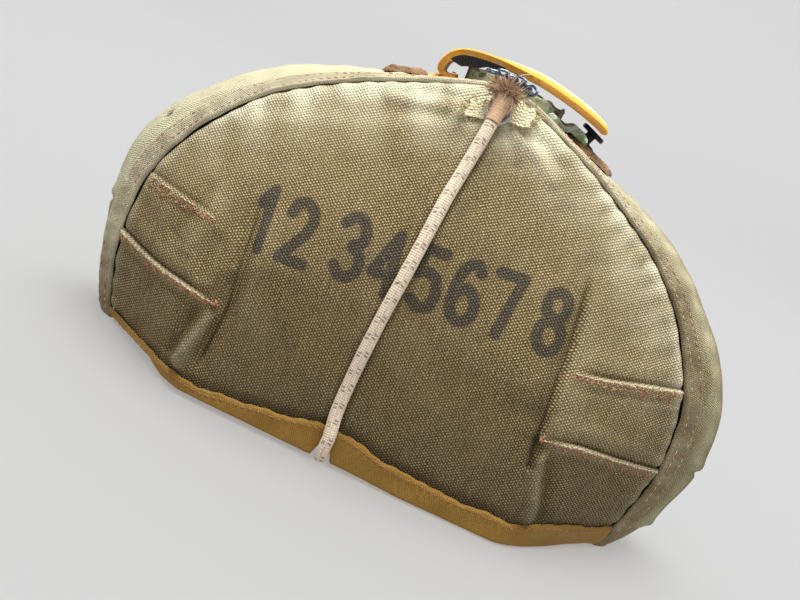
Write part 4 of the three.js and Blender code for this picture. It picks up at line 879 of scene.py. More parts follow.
def front_panel():
    G = arch_grid(520, 330, 0.15, 0.5, 1.0, front_y)
    x, z = G[..., 0], G[..., 2]
    low = interp(HEM_LOW, x) + 0.5
    z2 = z + low * np.clip(1 - z / 30, 0, 1) ** 2
    lift = 6.4 * np.exp(-((x - CORD_X) / 3.6) ** 6) * np.clip(1 - z / 22, 0, 1) ** 1.5
    z2 = z2 + lift
    G = np.stack([x, front_y(x, z2), z2], -1)
    n = outward(G)
    h, dark = front_relief(x, z2)
    out = G + n * h[..., None]
    inn = G - n * (2.0 - 0.75 * h[..., None])
    inn[..., 2] = np.maximum(inn[..., 2], 0.4)
    d, t = nearest(x, z2)
    # pale cloth towards the crown and along the seam, most on the right: worn cloth, together with painted highlight on
    # the top and the upper left where the light falls
    crown = np.exp(-((np.abs(t - 0.53)) / 0.17) ** 2)
    wear_and_highlight = 0.66 * crown * np.exp(-(np.clip(d - 2, 0, None) / (9 + 7 * smooth(0.5, 0.62, t))) ** 1.5)
    wear_and_highlight += 0.55 * np.exp(-((d - 2.5) / 2.6) ** 2) * (0.35 + 0.65 * smooth(0.25, 0.5, t) * smooth(0.86, 0.66, t))
    wear_and_highlight += 0.62 * np.exp(-(d / 8.0) ** 1.4) * smooth(0.16, 0.3, t) * smooth(0.6, 0.52, t) + 0.36 * np.exp(-(d / 24) ** 2) * smooth(0.14, 0.3, t) * smooth(0.6, 0.46, t)
    wear_and_highlight += 0.33 * smooth(0.62, 0.72, t) * smooth(0.88, 0.8, t) * np.exp(-(d / 20) ** 2)
    wear_and_highlight += 0.35 * np.exp(-((np.hypot((x + 3) / 1.6, z2 - 158)) / 16) ** 2)
    wear_and_highlight *= 0.8 + 0.35 * waves(x, z2, 7, 8, 30, 21)
    # painted highlight along each dart's lip
    for name, (poly, lip, knot) in DARTS.items():
        dd, s, k, al = seg_dist(x, z2, curve2(poly))
        s = s if poly[0][0] < 0 else -s
        wear_and_highlight += 0.42 * lip * np.exp(-((s + 0.5) / 0.7) ** 2) * smooth(1.0, 0.8, k)
    # painted highlight on raised cloth
    wear_and_highlight += np.clip(h, 0, 2) * 0.10
    V, F = shell(out.reshape(-1, 3), inn.reshape(-1, 3), grid_quads(*G.shape[:2]))
    two = lambda a: np.concatenate([a.ravel(), 0 * a.ravel()])
    # cloth coordinates follow the surface's length from the middle outwards
    uv = dist_uv(x * 1.02, z2 + 0.18 * np.clip(front_y(x, z2), 0, 60), 0.0)
    uv = np.vstack([uv.reshape(-1, 2), uv.reshape(-1, 2)])
    ob = make("front_panel", V, F, canvas, uv=uv, attrs={"wear_and_highlight": two(np.clip(wear_and_highlight, 0, 0.95)), "ink": two(ink_map(x, z2)), "dark": two(dark)},
         stands_for="cover_front_panel", slot="canvas", angle=70)
    return ob, G


def surf(y_of, x, z, direction, relief=None):
    """Point and outward normal on a panel."""
    x, z = np.asarray(x, float), np.asarray(z, float)
    e = 0.6
    P = np.stack([x, y_of(x, z), z], -1)
    tx = np.stack([np.full_like(x, 2 * e), y_of(x + e, z) - y_of(x - e, z), 0 * x], -1)
    tz = np.stack([0 * x, y_of(x, z + e) - y_of(x, z - e), np.full_like(x, 2 * e)], -1)
    n = unit(np.cross(tx, tz))
    n = np.where((n[..., 1:2] * direction) > 0, -n, n)
    if relief is not None:
        P = P + n * relief(x, z)[0][..., None]
    return P, n


def on_front(x, z, relief=True):
    return surf(front_y, x, z, 1, front_relief if relief else None)


def back_panel():
    G = arch_grid(260, 170, 0.4, 0.5, BACK_SCALE, back_y)
    x, z = G[..., 0], G[..., 2]
    low = 0.8 + 0.5 * np.sin(x / 17.0)
    z2 = z + low * np.clip(1 - z / 30, 0, 1) ** 2 + 6.4 * np.exp(-((x - CORD_X) / 3.6) ** 6) * np.clip(1 - z / 22, 0, 1) ** 1.5
    G = np.stack([x, back_y(x, z2), z2], -1)
    n = outward(G)
    d, t = nearest(x / BACK_SCALE, z2 / BACK_SCALE)
    sm = t * SEAM_LEN
    h = 0.35 * waves(x, z2, 9, 24, 70, 31) - 0.2
    h += 0.35 * np.sin(2 * np.pi * sm / 11.5 + 1.5 * np.sin(sm / 29)) * np.exp(-((d - 4) / 5.5) ** 2)
    h -= 1.4 * np.exp(-(d / 1.5) ** 2)
    for cx in (-52, 52):   # drawn in where the belt loops are sewn on
        for cz in (49, 131):
            h -= 0.5 * np.exp(-(((x - cx) / 24) ** 4 + ((z2 - cz) / 8) ** 2))
    h = np.minimum(h, 0.25 + 0.5 * smooth(20, 4, d))
    h -= 0.5 * np.exp(-((x - CORD_X) / 3.0) ** 2)
    out, inn = G + n * h[..., None], G - n * (2.0 - 0.7 * h[..., None])
    inn[..., 2] = np.maximum(inn[..., 2], 0.4)
    V, F = shell(out.reshape(-1, 3), inn.reshape(-1, 3), grid_quads(*G.shape[:2]))
    # paler along the seam and towards the top: worn cloth, with painted highlight on the top
    wear_and_highlight = 0.5 * np.exp(-((d - 2.5) / 3) ** 2) + 0.3 * smooth(120, 165, z2) + 0.1 * waves(x, z2, 8, 12, 50, 33)
    two = lambda a: np.concatenate([a.ravel(), 0 * a.ravel()])
    # painted shade in the seam's crease and along the cord
    dark = 0.5 * np.exp(-(d / 1.0) ** 2) + 0.3 * np.exp(-((x - CORD_X) / 3.4) ** 4)
    uv = dist_uv(x, z2).reshape(-1, 2)
    ob = make("back_panel", V, F, canvas_back, uv=np.vstack([uv, uv]), attrs={"wear_and_highlight": two(np.clip(wear_and_highlight, 0, 0.8)), "dark": two(dark)},
         stands_for="cover_back_panel", slot="canvas", angle=70)
    return ob, G


# ------------------------------------------------------------------ gusset and bindings
def gusset_relief(t, s):
    u = np.abs(2 * t - 1); sm = t * SEAM_LEN
    h = 0.3 * waves(sm, s * 60, 9, 22, 60, 41) * smooth(0.0, 0.2, s) * smooth(1.0, 0.8, s)
    puck = np.sin(2 * np.pi * sm / 12.5 + 2.0 * np.sin(sm / 37)) * (0.5 + 0.5 * np.sin(sm / 29 + 2))
    h += 0.45 * puck * (np.exp(-((s - 0.27) / 0.1) ** 2) + np.exp(-((s - 0.76) / 0.1) ** 2))
    for mirror in (0, 1):
        tt = 1 - t if mirror else t
        a = tt * SEAM_LEN
        L = SEAM_LEN
        # two stitched tucks and a pinched hollow on each side
        for c, s0, s1, amp in ((L - 52, 0.24, 0.60, 1.5), (L - 17, 0.2, 0.55, 2.2)):
            line = c + 10 * (s - s0) * (1 if amp < 2 else -1)
            env = smooth(s0 - 0.1, s0, s) * smooth(s1 + 0.1, s1 - 0.08, s)
            q = a - line
            h += env * amp * (0.6 * np.exp(-((q + 2) / 3.0) ** 2) - np.exp(-((q - 1.3) / 1.1) ** 2))
        h -= 2.4 * np.exp(-(((a - (L - 14)) / 5) ** 2 + ((s - 0.29) / 0.055) ** 2))
        h += 0.8 * np.exp(-(((a - (L - 24)) / 6) ** 2 + ((s - 0.33) / 0.08) ** 2))
    # the lower right side stands out further
    h += 3.4 * np.exp(-((sm - (SEAM_LEN - 62)) / 34) ** 2) * smooth(0.06, 0.4, s) * smooth(1.0, 0.72, s)
    h -= 5.2 * smooth(84, 34, sm) * smooth(0.05, 0.34, s) * smooth(1.0, 0.75, s)      # the lower left side is flatter
    h -= 1.3 * np.exp(-((sm - 92) / 2.2) ** 2 - ((s * 62 - 16) / 2.0) ** 2)             # a small pinch in the upper left
    h += 0.5 * np.exp(-((s * 62 - 13 + (sm - 92) * 0.12) / 1.6) ** 2) * smooth(60, 80, sm) * smooth(150, 110, sm)
    h = h * smooth(0, 0.02, t) * smooth(1, 0.98, t)
    return h


def gusset_points(t, s, off=0.0, relief=True):
    t, s = np.broadcast_arrays(np.asarray(t, float), np.asarray(s, float))
    e = 1e-3
    P = gusset(t, s)
    a = gusset(np.clip(t + e, 0, 1), s) - gusset(np.clip(t - e, 0, 1), s)
    b = gusset(t, np.clip(s + 0.01, 0, 1)) - gusset(t, np.clip(s - 0.01, 0, 1))
    n = unit(np.cross(a, b))
    n = np.where(((n * (P - INSIDE)).sum(-1) < 0)[..., None], -n, n)
    h = (gusset_relief(t, s) if relief else 0) + off
    return P + n * np.asarray(h)[..., None], n


def gusset_piece():
    nt, ns = 620, 46
    t = np.linspace(0, 1, nt)[:, None]; s = (0.012 + 0.976 * np.linspace(0, 1, ns))[None, :]
    T, S = np.broadcast_arrays(t, s)
    out, n = gusset_points(T, S)
    inn, _ = gusset_points(T, S, -2.0)
    for A in (out, inn):
        for e in (0, -1):
            A[e, :, 2] = 0.3
        A[..., 2] = np.maximum(A[..., 2], 0.3)
    ex, ey = 23.0 + 0.7, 15.6 + 0.7
    rho = np.hypot((out[..., 0] - 2) / ex, (out[..., 1] - 62) / ey); top = out[..., 2] > 120
    hole = (rho < 1) & top
    Q = grid_quads(nt, ns)
    Q = Q[~hole.ravel()[Q].all(1)]
    used = np.zeros(nt * ns, bool); used[Q.ravel()] = True
    snap = (hole.ravel() & used).reshape(nt, ns)
    for A in (out, inn):
        A[..., 0] = np.where(snap, 2 + (A[..., 0] - 2) / np.maximum(rho, 1e-3), A[..., 0])
        A[..., 1] = np.where(snap, 62 + (A[..., 1] - 62) / np.maximum(rho, 1e-3), A[..., 1])
    V, F = shell(out.reshape(-1, 3), inn.reshape(-1, 3), Q)
    keep = np.unique(F); m = np.full(len(V), -1); m[keep] = np.arange(len(keep))
    sm = T * SEAM_LEN
    # paler towards the crown, on the upper left and in a band near the front seam: worn cloth, with painted highlight
    # on the upper left
    wear_and_highlight = 0.3 * smooth(0.35, 0.5, T) * smooth(0.85, 0.6, T) + 0.75 * smooth(0.06, 0.16, T) * smooth(0.62, 0.45, T) + 0.35 * np.exp(-((S - 0.25) / 0.08) ** 2) + 0.1 * waves(sm, S * 60, 8, 10, 40, 44)
    low_left = 5.2 * smooth(84, 34, sm) * smooth(0.05, 0.34, S) * smooth(1.0, 0.75, S)
    # painted shade in the hollows of the relief and in the pinch
    dark = 0.6 * np.clip(-gusset_relief(T, S) - low_left - 0.6, 0, 1.2) + 0.7 * np.exp(-((sm - 92) / 1.5) ** 2 - ((S * 62 - 16) / 1.4) ** 2)
    uv = np.stack([S * 62, sm], -1).reshape(-1, 2)
    two = lambda a: np.concatenate([a.ravel(), 0 * a.ravel()])[keep]
    ob = make("gusset", V[keep], m[F], canvas_side, uv=np.vstack([uv, uv])[keep], attrs={"wear_and_highlight": two(np.clip(wear_and_highlight, 0, 0.8)), "dark": two(np.clip(dark, 0, 0.85))},
         stands_for="cover_gusset", slot="canvas", angle=70)
    return ob, np.broadcast_to(out, (nt, ns, 3))


def binding_piece(name, s0, s1, node, front):
    nt, K = 620, 20
    t = np.linspace(0, 1, nt)[:, None]; k = np.linspace(0, 1, K)[None, :]
    S = s0 + (s1 - s0) * k + 0 * t
    sm = t * SEAM_LEN
    edge = np.minimum(k, 1 - k)
    o = 0.2 + 1.05 * np.clip(edge * 7, 0, 1) ** 0.5
    for c in (0.24, 0.74):
        o = o - 0.34 * np.exp(-((k - c) / 0.07) ** 2) * (0.75 + 0.25 * np.cos(2 * np.pi * sm / 3.2))
    o = o + 0.16 * np.sin(2 * np.pi * sm / 9.0 + 3 * np.sin(sm / 40)) * np.sin(np.pi * k) + 0.14 * waves(sm, k * 6, 8, 7, 40, 51)
    if front:
        S = S - 0.004 * np.sin(sm / 6.0) * (k < 0.1)
    out, _ = gusset_points(t + 0 * k, S, o, relief=False)
    inn, _ = gusset_points(t + 0 * k, S, -0.5 + 0 * o, relief=False)
    for A in (out, inn):
        for e in (0, -1):
            A[e, :, 2] = 0.1
        A[..., 2] = np.maximum(A[..., 2], 0.1)
    V, F = shell(out.reshape(-1, 3), inn.reshape(-1, 3), grid_quads(nt, K))
    uv = np.stack([k * 6.5 + 0 * t, sm + 0 * k], -1).reshape(-1, 2)
    # paler binding: worn cloth, with painted highlight on the left-hand run and along the outer rim, less down the
    # middle
    pale = (0.62 * smooth(0.0, 0.1, t) * smooth(0.74, 0.6, t) + 0.1 + 0.12 * waves(sm, k * 6, 8, 6, 30, 52)) * (1 - 0.35 * np.exp(-((k - 0.5) / 0.16) ** 2)) + 0.2 * np.exp(-((k - 0.97) / 0.06) ** 2)
    pale = np.clip(np.concatenate([pale.ravel(), pale.ravel()]), 0, 0.85)
    ob = make(name, V, F, binding, uv=np.vstack([uv, uv]), attrs={"pale": pale}, stands_for=node, slot="binding", angle=70)
    st = Strands()
    r = np.random.default_rng(60 + front)
    for c in (0.24, 0.74):
        ts = np.arange(1.5, SEAM_LEN - 1.5, 3.2) / SEAM_LEN
        ss = s0 + (s1 - s0) * c
        P, n = gusset_points(ts, ss + 0 * ts, 1.0, relief=False)
        P2, _ = gusset_points(ts + 1e-3, ss + 0 * ts, 1.0, relief=False)
        D = unit(P2 - P)
        for p, d, nn in zip(P, D, n):
            if p[2] < 1.2 or r.random() < 0.06:
                continue
            shade = r.choice([0.1, 0.55, 0.8, 1.0], p=[0.1, 0.35, 0.3, 0.25])
            st.stitch(p, unit(d + 0.12 * r.normal(size=3)), nn, 2.3, 0.55, 0.3, shade if p[2] < 95 else 0.7 + 0.3 * shade)
    return ob, st.build(name + "_stitches", stitch_mat, slot="binding")


# ------------------------------------------------------------------ hem tapes
def hem_tape(name, node, y_of, scale, top_of, low_of, direction, nx):
    xs_end = 122.0 * scale
    w = np.linspace(0, 1, nx); kk = w * 0.75 + 0.25 * (w - np.sin(4 * np.pi * w) / (4 * np.pi))
    x0 = -xs_end + 2 * xs_end * kk
    lift = 5.2 * np.exp(-((x0 - CORD_X) / 3.8) ** 6)
    lo = np.maximum(low_of(x0), 0.15) + lift
    hi = top_of(x0) + 0.3 * np.sin(x0 / 3.1) + 0.18 * np.sin(x0 / 1.1 + 1)
    hi = np.maximum(hi, lo + 3.0)
    K = 34
    rows = []
    for k in range(K):
        f = k / (K - 1)
        if f < 0.56:      # outer face, from the top edge down
            g = f / 0.56
            z = hi + (lo + 1.0 - hi) * g
            o = 0.5 + 1.15 * np.clip(g * 14, 0, 1) ** 0.6 + 0.12 * np.sin(x0 / 7.0 + g * 3) + 0.25 * g
        elif f < 0.74:    # round the edge
            g = (f - 0.56) / 0.18; a = g * np.pi
            z = lo + 1.0 - 1.0 * np.sin(a)
            o = -0.95 + 2.75 * np.cos(a)
        else:             # up the inner face
            g = (f - 0.74) / 0.26
            z = lo + 1.0 + 7.0 * g
            o = -3.7 + 0 * x0 + 0.5 * g
        rows.append((z, o + 0 * x0))
    Z = np.stack([a for a, _ in rows], 1); O = np.stack([b for _, b in rows], 1); X = x0[:, None] + 0 * Z
    # keep inside the arch
    xe = np.interp(np.clip(Z, 0, 60), SEAM_PTS[len(SEAM_PTS) // 2:, 1][::-1], SEAM_PTS[len(SEAM_PTS) // 2:, 0][::-1]) * scale - 1.2
    X = X * (xe / xs_end)
    P, n = surf(y_of, X, np.maximum(Z, 0.2), direction)
    # the part round the edge keeps to the panel's own direction
    rel = front_relief(X, Z)[0] if direction > 0 else 0
    face = smooth(0.2, 1.2, O)
    base = P + n * (O + face * 0.8 * np.clip(rel, -1.5, 1.5))[..., None]
    base[..., 2] = np.where(O < 1.0, Z, np.maximum(base[..., 2], Z - 1.0))
    m = grid_normals(base)
    mid = base.mean(axis=(0, 1))
    if (m[:, 4] * np.array([0, -direction, 0.0])).sum() < 0:
        m = -m
    inn = base - m * 0.75
    base[..., 2] = np.maximum(base[..., 2], 0.05); inn[..., 2] = np.maximum(inn[..., 2], 0.1)
    V, F = shell(base.reshape(-1, 3), inn.reshape(-1, 3), grid_quads(*base.shape[:2]))
    s = np.concatenate([np.zeros((nx, 1)), np.cumsum(np.linalg.norm(np.diff(base, axis=1), axis=2), axis=1)], 1)
    uv = np.stack([s, X], -1).reshape(-1, 2)
    return make(name, V, F, tape, uv=np.vstack([uv, uv]), stands_for=node, slot="hem_tape", angle=70)


# ------------------------------------------------------------------ stitches on the front
def front_stitches():
    r = np.random.default_rng(77)
    st = Strands()
    for name, (poly, lip, knot) in DARTS.items():
        P = catmull(np.array(poly, float), 20)
        S = np.concatenate([[0], np.cumsum(np.hypot(*np.diff(P, axis=0).T))]); L = S[-1]
        left = poly[0][0] < 0
        def at(a, off):
            x = np.interp(a, S, P[:, 0]); z = np.interp(a, S, P[:, 1])
            return x, z + off
        # bright thread along the lip
        a = 1.5
        while a < L - 0.5:
            if r.random() < (0.95 if knot or not left else 0.55):
                x, z = at(np.array([a - 0.6, a + 0.6]), -0.55 + 0.15 * r.normal())
                Q, n = on_front(x, z)
                st.stitch(Q.mean(0) + n.mean(0) * 0.12, unit(Q[1] - Q[0] + 0.15 * r.normal(size=3)), n.mean(0), 1.9, 0.66, 0.38, r.uniform(0.75, 1.0))
            a += 2.0 + 0.25 * r.normal()
        # rows of orange-pink thread below it, crossing each other
        wide = 5.0 if not knot else 4.2
        dens = 2.3 if (left or not knot) else 1.3
        for k in range(int(L * dens)):
            a = r.uniform(1, L * (0.95 if knot else 1.0)); g = r.uniform(0, 1) ** 1.2
            narrow = np.clip(1.15 - a / L, 0.25, 1)
            off = -1.2 - wide * g * narrow
            x, z = at(np.array([a - 0.5, a + 0.5]), off)
            Q, n = on_front(x, z)
            d = Q[1] - Q[0]
            tilt = r.choice([-0.75, 0.7, 0.1]) + 0.2 * r.normal()
            d = unit(unit(d) + tilt * np.array([0, 0, 1.0]))
            st.stitch(Q.mean(0), d, n.mean(0), r.uniform(1.2, 2.3), 0.42, 0.22, np.clip(r.normal(0.38, 0.22), 0, 1))
        if knot:
            x, z = P[-1]
            Q, n = on_front(x, z)
            for _ in range(9):
                d = unit(r.normal(size=3)); d -= n * (d @ n)
                st.stitch(Q + n * r.uniform(0.0, 0.5) + 0.5 * r.normal(size=3), unit(d), n, r.uniform(1.4, 2.4), 0.6, 0.4, r.uniform(0.0, 0.6))
    for name, poly in SIDE_LINES.items():
        P = catmull(np.array(poly, float), 20)
        S = np.concatenate([[0], np.cumsum(np.hypot(*np.diff(P, axis=0).T))])
        for a in np.arange(1, S[-1], 3.4):
            if r.random() < 0.4:
                continue
            x, z = np.interp([a - 0.8, a + 0.8], S, P[:, 0]), np.interp([a - 0.8, a + 0.8], S, P[:, 1])
            Q, n = on_front(x + 0.2 * r.normal(), z)
            st.stitch(Q.mean(0) - n.mean(0) * 0.08, unit(Q[1] - Q[0]), n.mean(0), 1.8, 0.42, 0.2, r.uniform(0.2, 0.75))
    # row of stitches along the top edge of the hem tape
    for a in np.arange(-116, 117, 3.1):
        if abs(a - CORD_X) < 4:
            continue
        z = float(interp(HEM_TOP, a)) - 1.5
        Q, n = on_front(np.array([a - 0.8, a + 0.8]), np.array([z, z]))
        st.stitch(Q.mean(0) + n.mean(0) * 1.85, unit(Q[1] - Q[0]), n.mean(0), 2.2, 0.4, 0.22, r.uniform(0.1, 0.5))
    return st.build("front_stitches", stitch_mat, slot="canvas")


# ------------------------------------------------------------------ cord and what is on it
CLEAR = CORD_R + 0.3


def of_(x, z, o):
    P, n = surf(front_y, x, z, 1)
    return P + n * o


def ob_(x, z, o):
    P, n = surf(back_y, x, z, -1)
    return P + n * o


def cord_route():
    P = [of_(cord_x(z), z, o) for z, o in ((150.5, 6.6), (144, 5.0), (133, CLEAR + 0.2), (118, CLEAR), (102, CLEAR), (86, CLEAR), (70, CLEAR), (54, CLEAR), (38, CLEAR), (24, CLEAR + 0.4))]
    P += [of_(CORD_X, 14, CLEAR + 2.2)] + [np.array([CORD_X, y, z]) for y, z in ((-5.3, 8.4), (-3.8, 4.6), (0.4, 2.85), (8, 2.8), (24, 2.8), (44, 2.8), (64, 2.8), (82, 2.8), (90, 2.85), (94.8, 4.6), (96.4, 8.6))]
    P += [ob_(CORD_X, z, o) for z, o in ((14, CLEAR + 2.2), (26, CLEAR + 0.4), (44, CLEAR), (64, CLEAR), (84, CLEAR), (104, CLEAR), (120, CLEAR + 0.2), (128, 5.2), (134.5, 7.2))]
    return np.array(P)


ROUTE = cord_route()


def shock_cord():
    L, length = centripetal(ROUTE, 1300)
    n = 48
    T, A, B = frames(L, (1.0, 0.0, 0.0))
    s = np.linspace(0, length, len(L))[:, None]; th = (np.arange(n) / n * 2 * np.pi)[None, :]
    k = np.pi / 1.02; u = th * CORD_R
    r = CORD_R - 0.06 + 0.045 * np.sin(k * (u + s)) * np.sin(k * (u - s)) + 0.05 * np.sin(s / 5.0)
    # a pair of short dark dashes on alternate sides; the front of the cord faces away from the cover
    out = np.array([0.0, -1.0, 0.0])
    ang = np.arctan2(B @ out, A @ out)[:, None]
    rel = (th - ang + np.pi) % (2 * np.pi) - np.pi
    fl = np.zeros((len(L), n))
    rr = np.random.default_rng(9)
    per = 8.0
    for i in range(int(length / per) + 1):
        for side, ph in ((-1, 0.0), (1, 1.1)):
            for line in (0, 1):
                c = i * per + ph + line * 1.5 + 0.25 * rr.normal()
                cu = side * 1.45 + 0.15 * rr.normal() + 0.12 * line
                q = s - c - side * 0.3 * (rel * CORD_R - cu)
                fl = np.maximum(fl, np.exp(-(q / 0.31) ** 2) * smooth(1.05, 0.75, np.abs(rel * CORD_R - cu)) * rr.uniform(0.7, 1))
        for side in (-1, 1):      # and the same round the back
            c = i * per + 1.3 + side; cu = side * 2.1
            rb = (rel + 2 * np.pi) % (2 * np.pi) - np.pi
            fl = np.maximum(fl, np.exp(-((s - c) / 0.27) ** 2) * smooth(0.86, 0.5, np.abs(rb * CORD_R - cu)) * 0.8)
    V, Q, uv, tris = tube(L, r, n, (1.0, 0.0, 0.0))
    ob = make("shock_cord_sleeve", V, Q, cord_mat, tris=tris, uv=uv, attrs={"fleck": np.concatenate([np.clip(fl, 0, 1).ravel(), [0, 0]])},
              stands_for="shock_cord", slot="cord_sleeve", angle=80)
    return length


def whipping(name, p0, p1, node, seed):
    r = np.random.default_rng(seed)
    k = np.linspace(0, 1, 130)
    L = p0 + (p1 - p0) * k[:, None]
    length = np.linalg.norm(p1 - p0); s = k * length; n = 36
    th = np.arange(n) / n * 2 * np.pi
    base = np.interp(s, [0, 0.8, 2.6, 4.2, length * 0.72, length - 0.6, length], [2.85, 2.9, 3.0, 3.15, 3.55, 3.4, 2.8])
    turn = s[:, None] * 2 * np.pi / 0.62 + th[None, :]
    rad = base[:, None] + 0.14 * np.abs(np.sin(turn / 2)) + 0.05 * np.sin(3 * th)[None, :] * np.sin(s)[:, None]
    V, Q, uv, tris = tube(L, rad, n)
    shade = 0.5 + 0.3 * np.sin(turn / 2 + 0.8).ravel() * 0.6 + 0.16 * r.normal(size=130 * n).cumsum() / 60
    ob = make(name, V, Q, whip_mat, tris=tris, uv=uv, attrs={"shade": np.clip(np.concatenate([shade, [0.5, 0.5]]), 0, 1)}, stands_for=node, slot="whipping", angle=80)
    return ob


def tuft():
    r = np.random.default_rng(15)
    st = Strands()
    ax = unit(WF1 - ROUTE[0])
    a = unit(np.cross(ax, [1.0, 0, 0])); b = np.cross(ax, a)
    base = WF1 + ax * 0.1
    for i in range(640):
        th = r.uniform(0, 2 * np.pi); rad = 2.6 * math.sqrt(r.uniform(0, 1))
        o = math.cos(th) * a + math.sin(th) * b
        length = r.uniform(2.5, 7.6); flare = r.uniform(0.25, 1.05) * (0.35 + rad / 2.6)
        k = np.linspace(0, 1, 7)[:, None]
        curl = r.normal(size=3) * 1.9
        L = base - ax * 0.8 + o * rad + ax * (length * k * (1 - 0.22 * k * flare)) + o * (flare * 4.2 * k ** 1.5) + curl * k ** 2 + np.array([-1.6, 0, -1.2]) * k ** 2 * flare
        st.add(L, np.linspace(0.2, 0.13, 7), np.clip(r.normal(0.48, 0.3), 0, 1), sides=4)
    # stray ends that lie over the whipping
    for i in range(70):
        th = r.uniform(0, 2 * np.pi); o = math.cos(th) * a + math.sin(th) * b
        k = np.linspace(0, 1, 7)[:, None]
        L = base - ax * r.uniform(0, 1) + o * 3.0 - ax * (r.uniform(2, 6) * k) + o * (1.4 * np.sin(np.pi * k)) + r.normal(size=3) * k * 1.3
        st.add(L, 0.15, r.uniform(0.2, 0.95), sides=4)
    st.build("cord_tuft_fibres", tuft_mat, stands_for="cord_tuft", slot="whipping")
    st = Strands()
    k = np.linspace(0, 1, 26)
    p0 = WF1 + ax * 5.0 + np.array([0.3, -2.0, 0])
    L = np.stack([p0[0] + 4.6 * k ** 2 - 1.2 * np.sin(np.pi * k), p0[1] + 0.4 - 1.5 * k, p0[2] + 9.0 * k - 1.6 * k ** 2], 1)
    st.add(L, 0.22, 0.95, sides=6)
    st.build("loose_thread", tuft_mat, slot="whipping")


WF1 = of_(-0.8, 161.0, 7.6)
WB1 = ob_(CORD_X, 149, 8.2)


def patch(name, node, y_of, direction, x0, x1, z0, z1, seed):
    r = np.random.default_rng(seed)
    R, C = 64, 40
    a = np.linspace(0, 1, R)[:, None]; b = np.linspace(0, 1, C)[None, :]
    x = x0 + (x1 - x0) * a + 0.5 * np.sin(b * 9 + seed) * (np.abs(a - 0.5) > 0.42) + 0 * b
    z = z0 + (z1 - z0) * b + 0.45 * np.sin(a * 11 + seed) * (2 * b - 1) + 0 * a
    z = z + 0.27 * direction * (x - (x0 + x1) / 2)
    # the lower edge is drawn up under the whipping
    z = z + 1.6 * np.exp(-((x - (x0 + x1) / 2) / 5) ** 2) * (1 - b)
    P, n = surf(y_of, x, z, direction)
    lift = 0.55 + 0.35 * np.sin(x / 2.3 + z / 3.0) + 0.5 * np.exp(-((b - 0.0) / 0.2) ** 2) * (0.6 + 0.4 * np.sin(x / 1.7))
    lift = lift + 1.1 * np.exp(-((np.abs(a - 0.5) - 0.47) / 0.06) ** 2)
    lift = np.clip(lift, 0.3, 2.4) + 0.12 * np.sin(z * 2 * np.pi / 1.3)
    V, F = shell((P + n * (lift + 0.9)[..., None]).reshape(-1, 3), (P + n * np.maximum(lift - 0.2, 0.15)[..., None]).reshape(-1, 3), grid_quads(R, C))
    uv = np.stack([x, z], -1).reshape(-1, 2)
    ob = make(name, V, F, patch_mat, uv=np.vstack([uv, uv]), stands_for=node, slot="patch_webbing", angle=70)
    st = Strands()
    top = P + n * (lift + 0.5)[..., None]
    for i in range(150):
        side = r.integers(0, 4)
        if side < 2:
            j = r.integers(0, C); e, d = top[-side, j], np.array([(-1, 1)[side], 0, 0.15 * r.normal()])
        else:
            j = r.integers(0, R); e, d = top[j, 0 if side == 2 else -1], np.array([0.35 * r.normal(), 0, (-1, 1)[side - 2]])
        k = np.linspace(0, 1, 5)[:, None]
        L = e + unit(d) * (r.uniform(0.8, 2.8) * k) + np.array([0, -direction, 0.0]) * (0.5 * k * r.uniform(-0.3, 1)) + 0.7 * r.normal(size=3) * k ** 2
        st.add(L, 0.17, r.uniform(0.1, 1.0), sides=4)
    cloth(ob, P, [st.build(name + "_fray", fray_mat, slot="patch_webbing")])


def eyelet(name, node, y_of, direction, x, z):
    P, n = surf(y_of, x, z, direction)
    prof = round_profile([[3.0, 1.9], [5.5, 1.9], [5.5, 2.65], [5.0, 3.05], [3.8, 3.05], [3.0, 2.65], [3.0, 1.9]], 0.4, 4)
    V, Q, uv = lathe(prof, 56, P, n)
    make(name, V, Q, steel, uv=uv, stands_for=node, slot="eyelet_steel")


# ------------------------------------------------------------------ strap, anchor, yokes, stud
STRAP_PTS = [(-24.2, 163.5), (-28.2, 162.7), (-30.9, 163.3), (-31.6, 165.6), (-31.0, 168.2), (-29.0, 171.4), (-25.0, 174.2), (-18, 175.8), (-9, 176.6), (0, 176.5), (10, 176.1), (20, 174.8), (30, 172.9), (38, 170.8), (44.5, 168.4)]


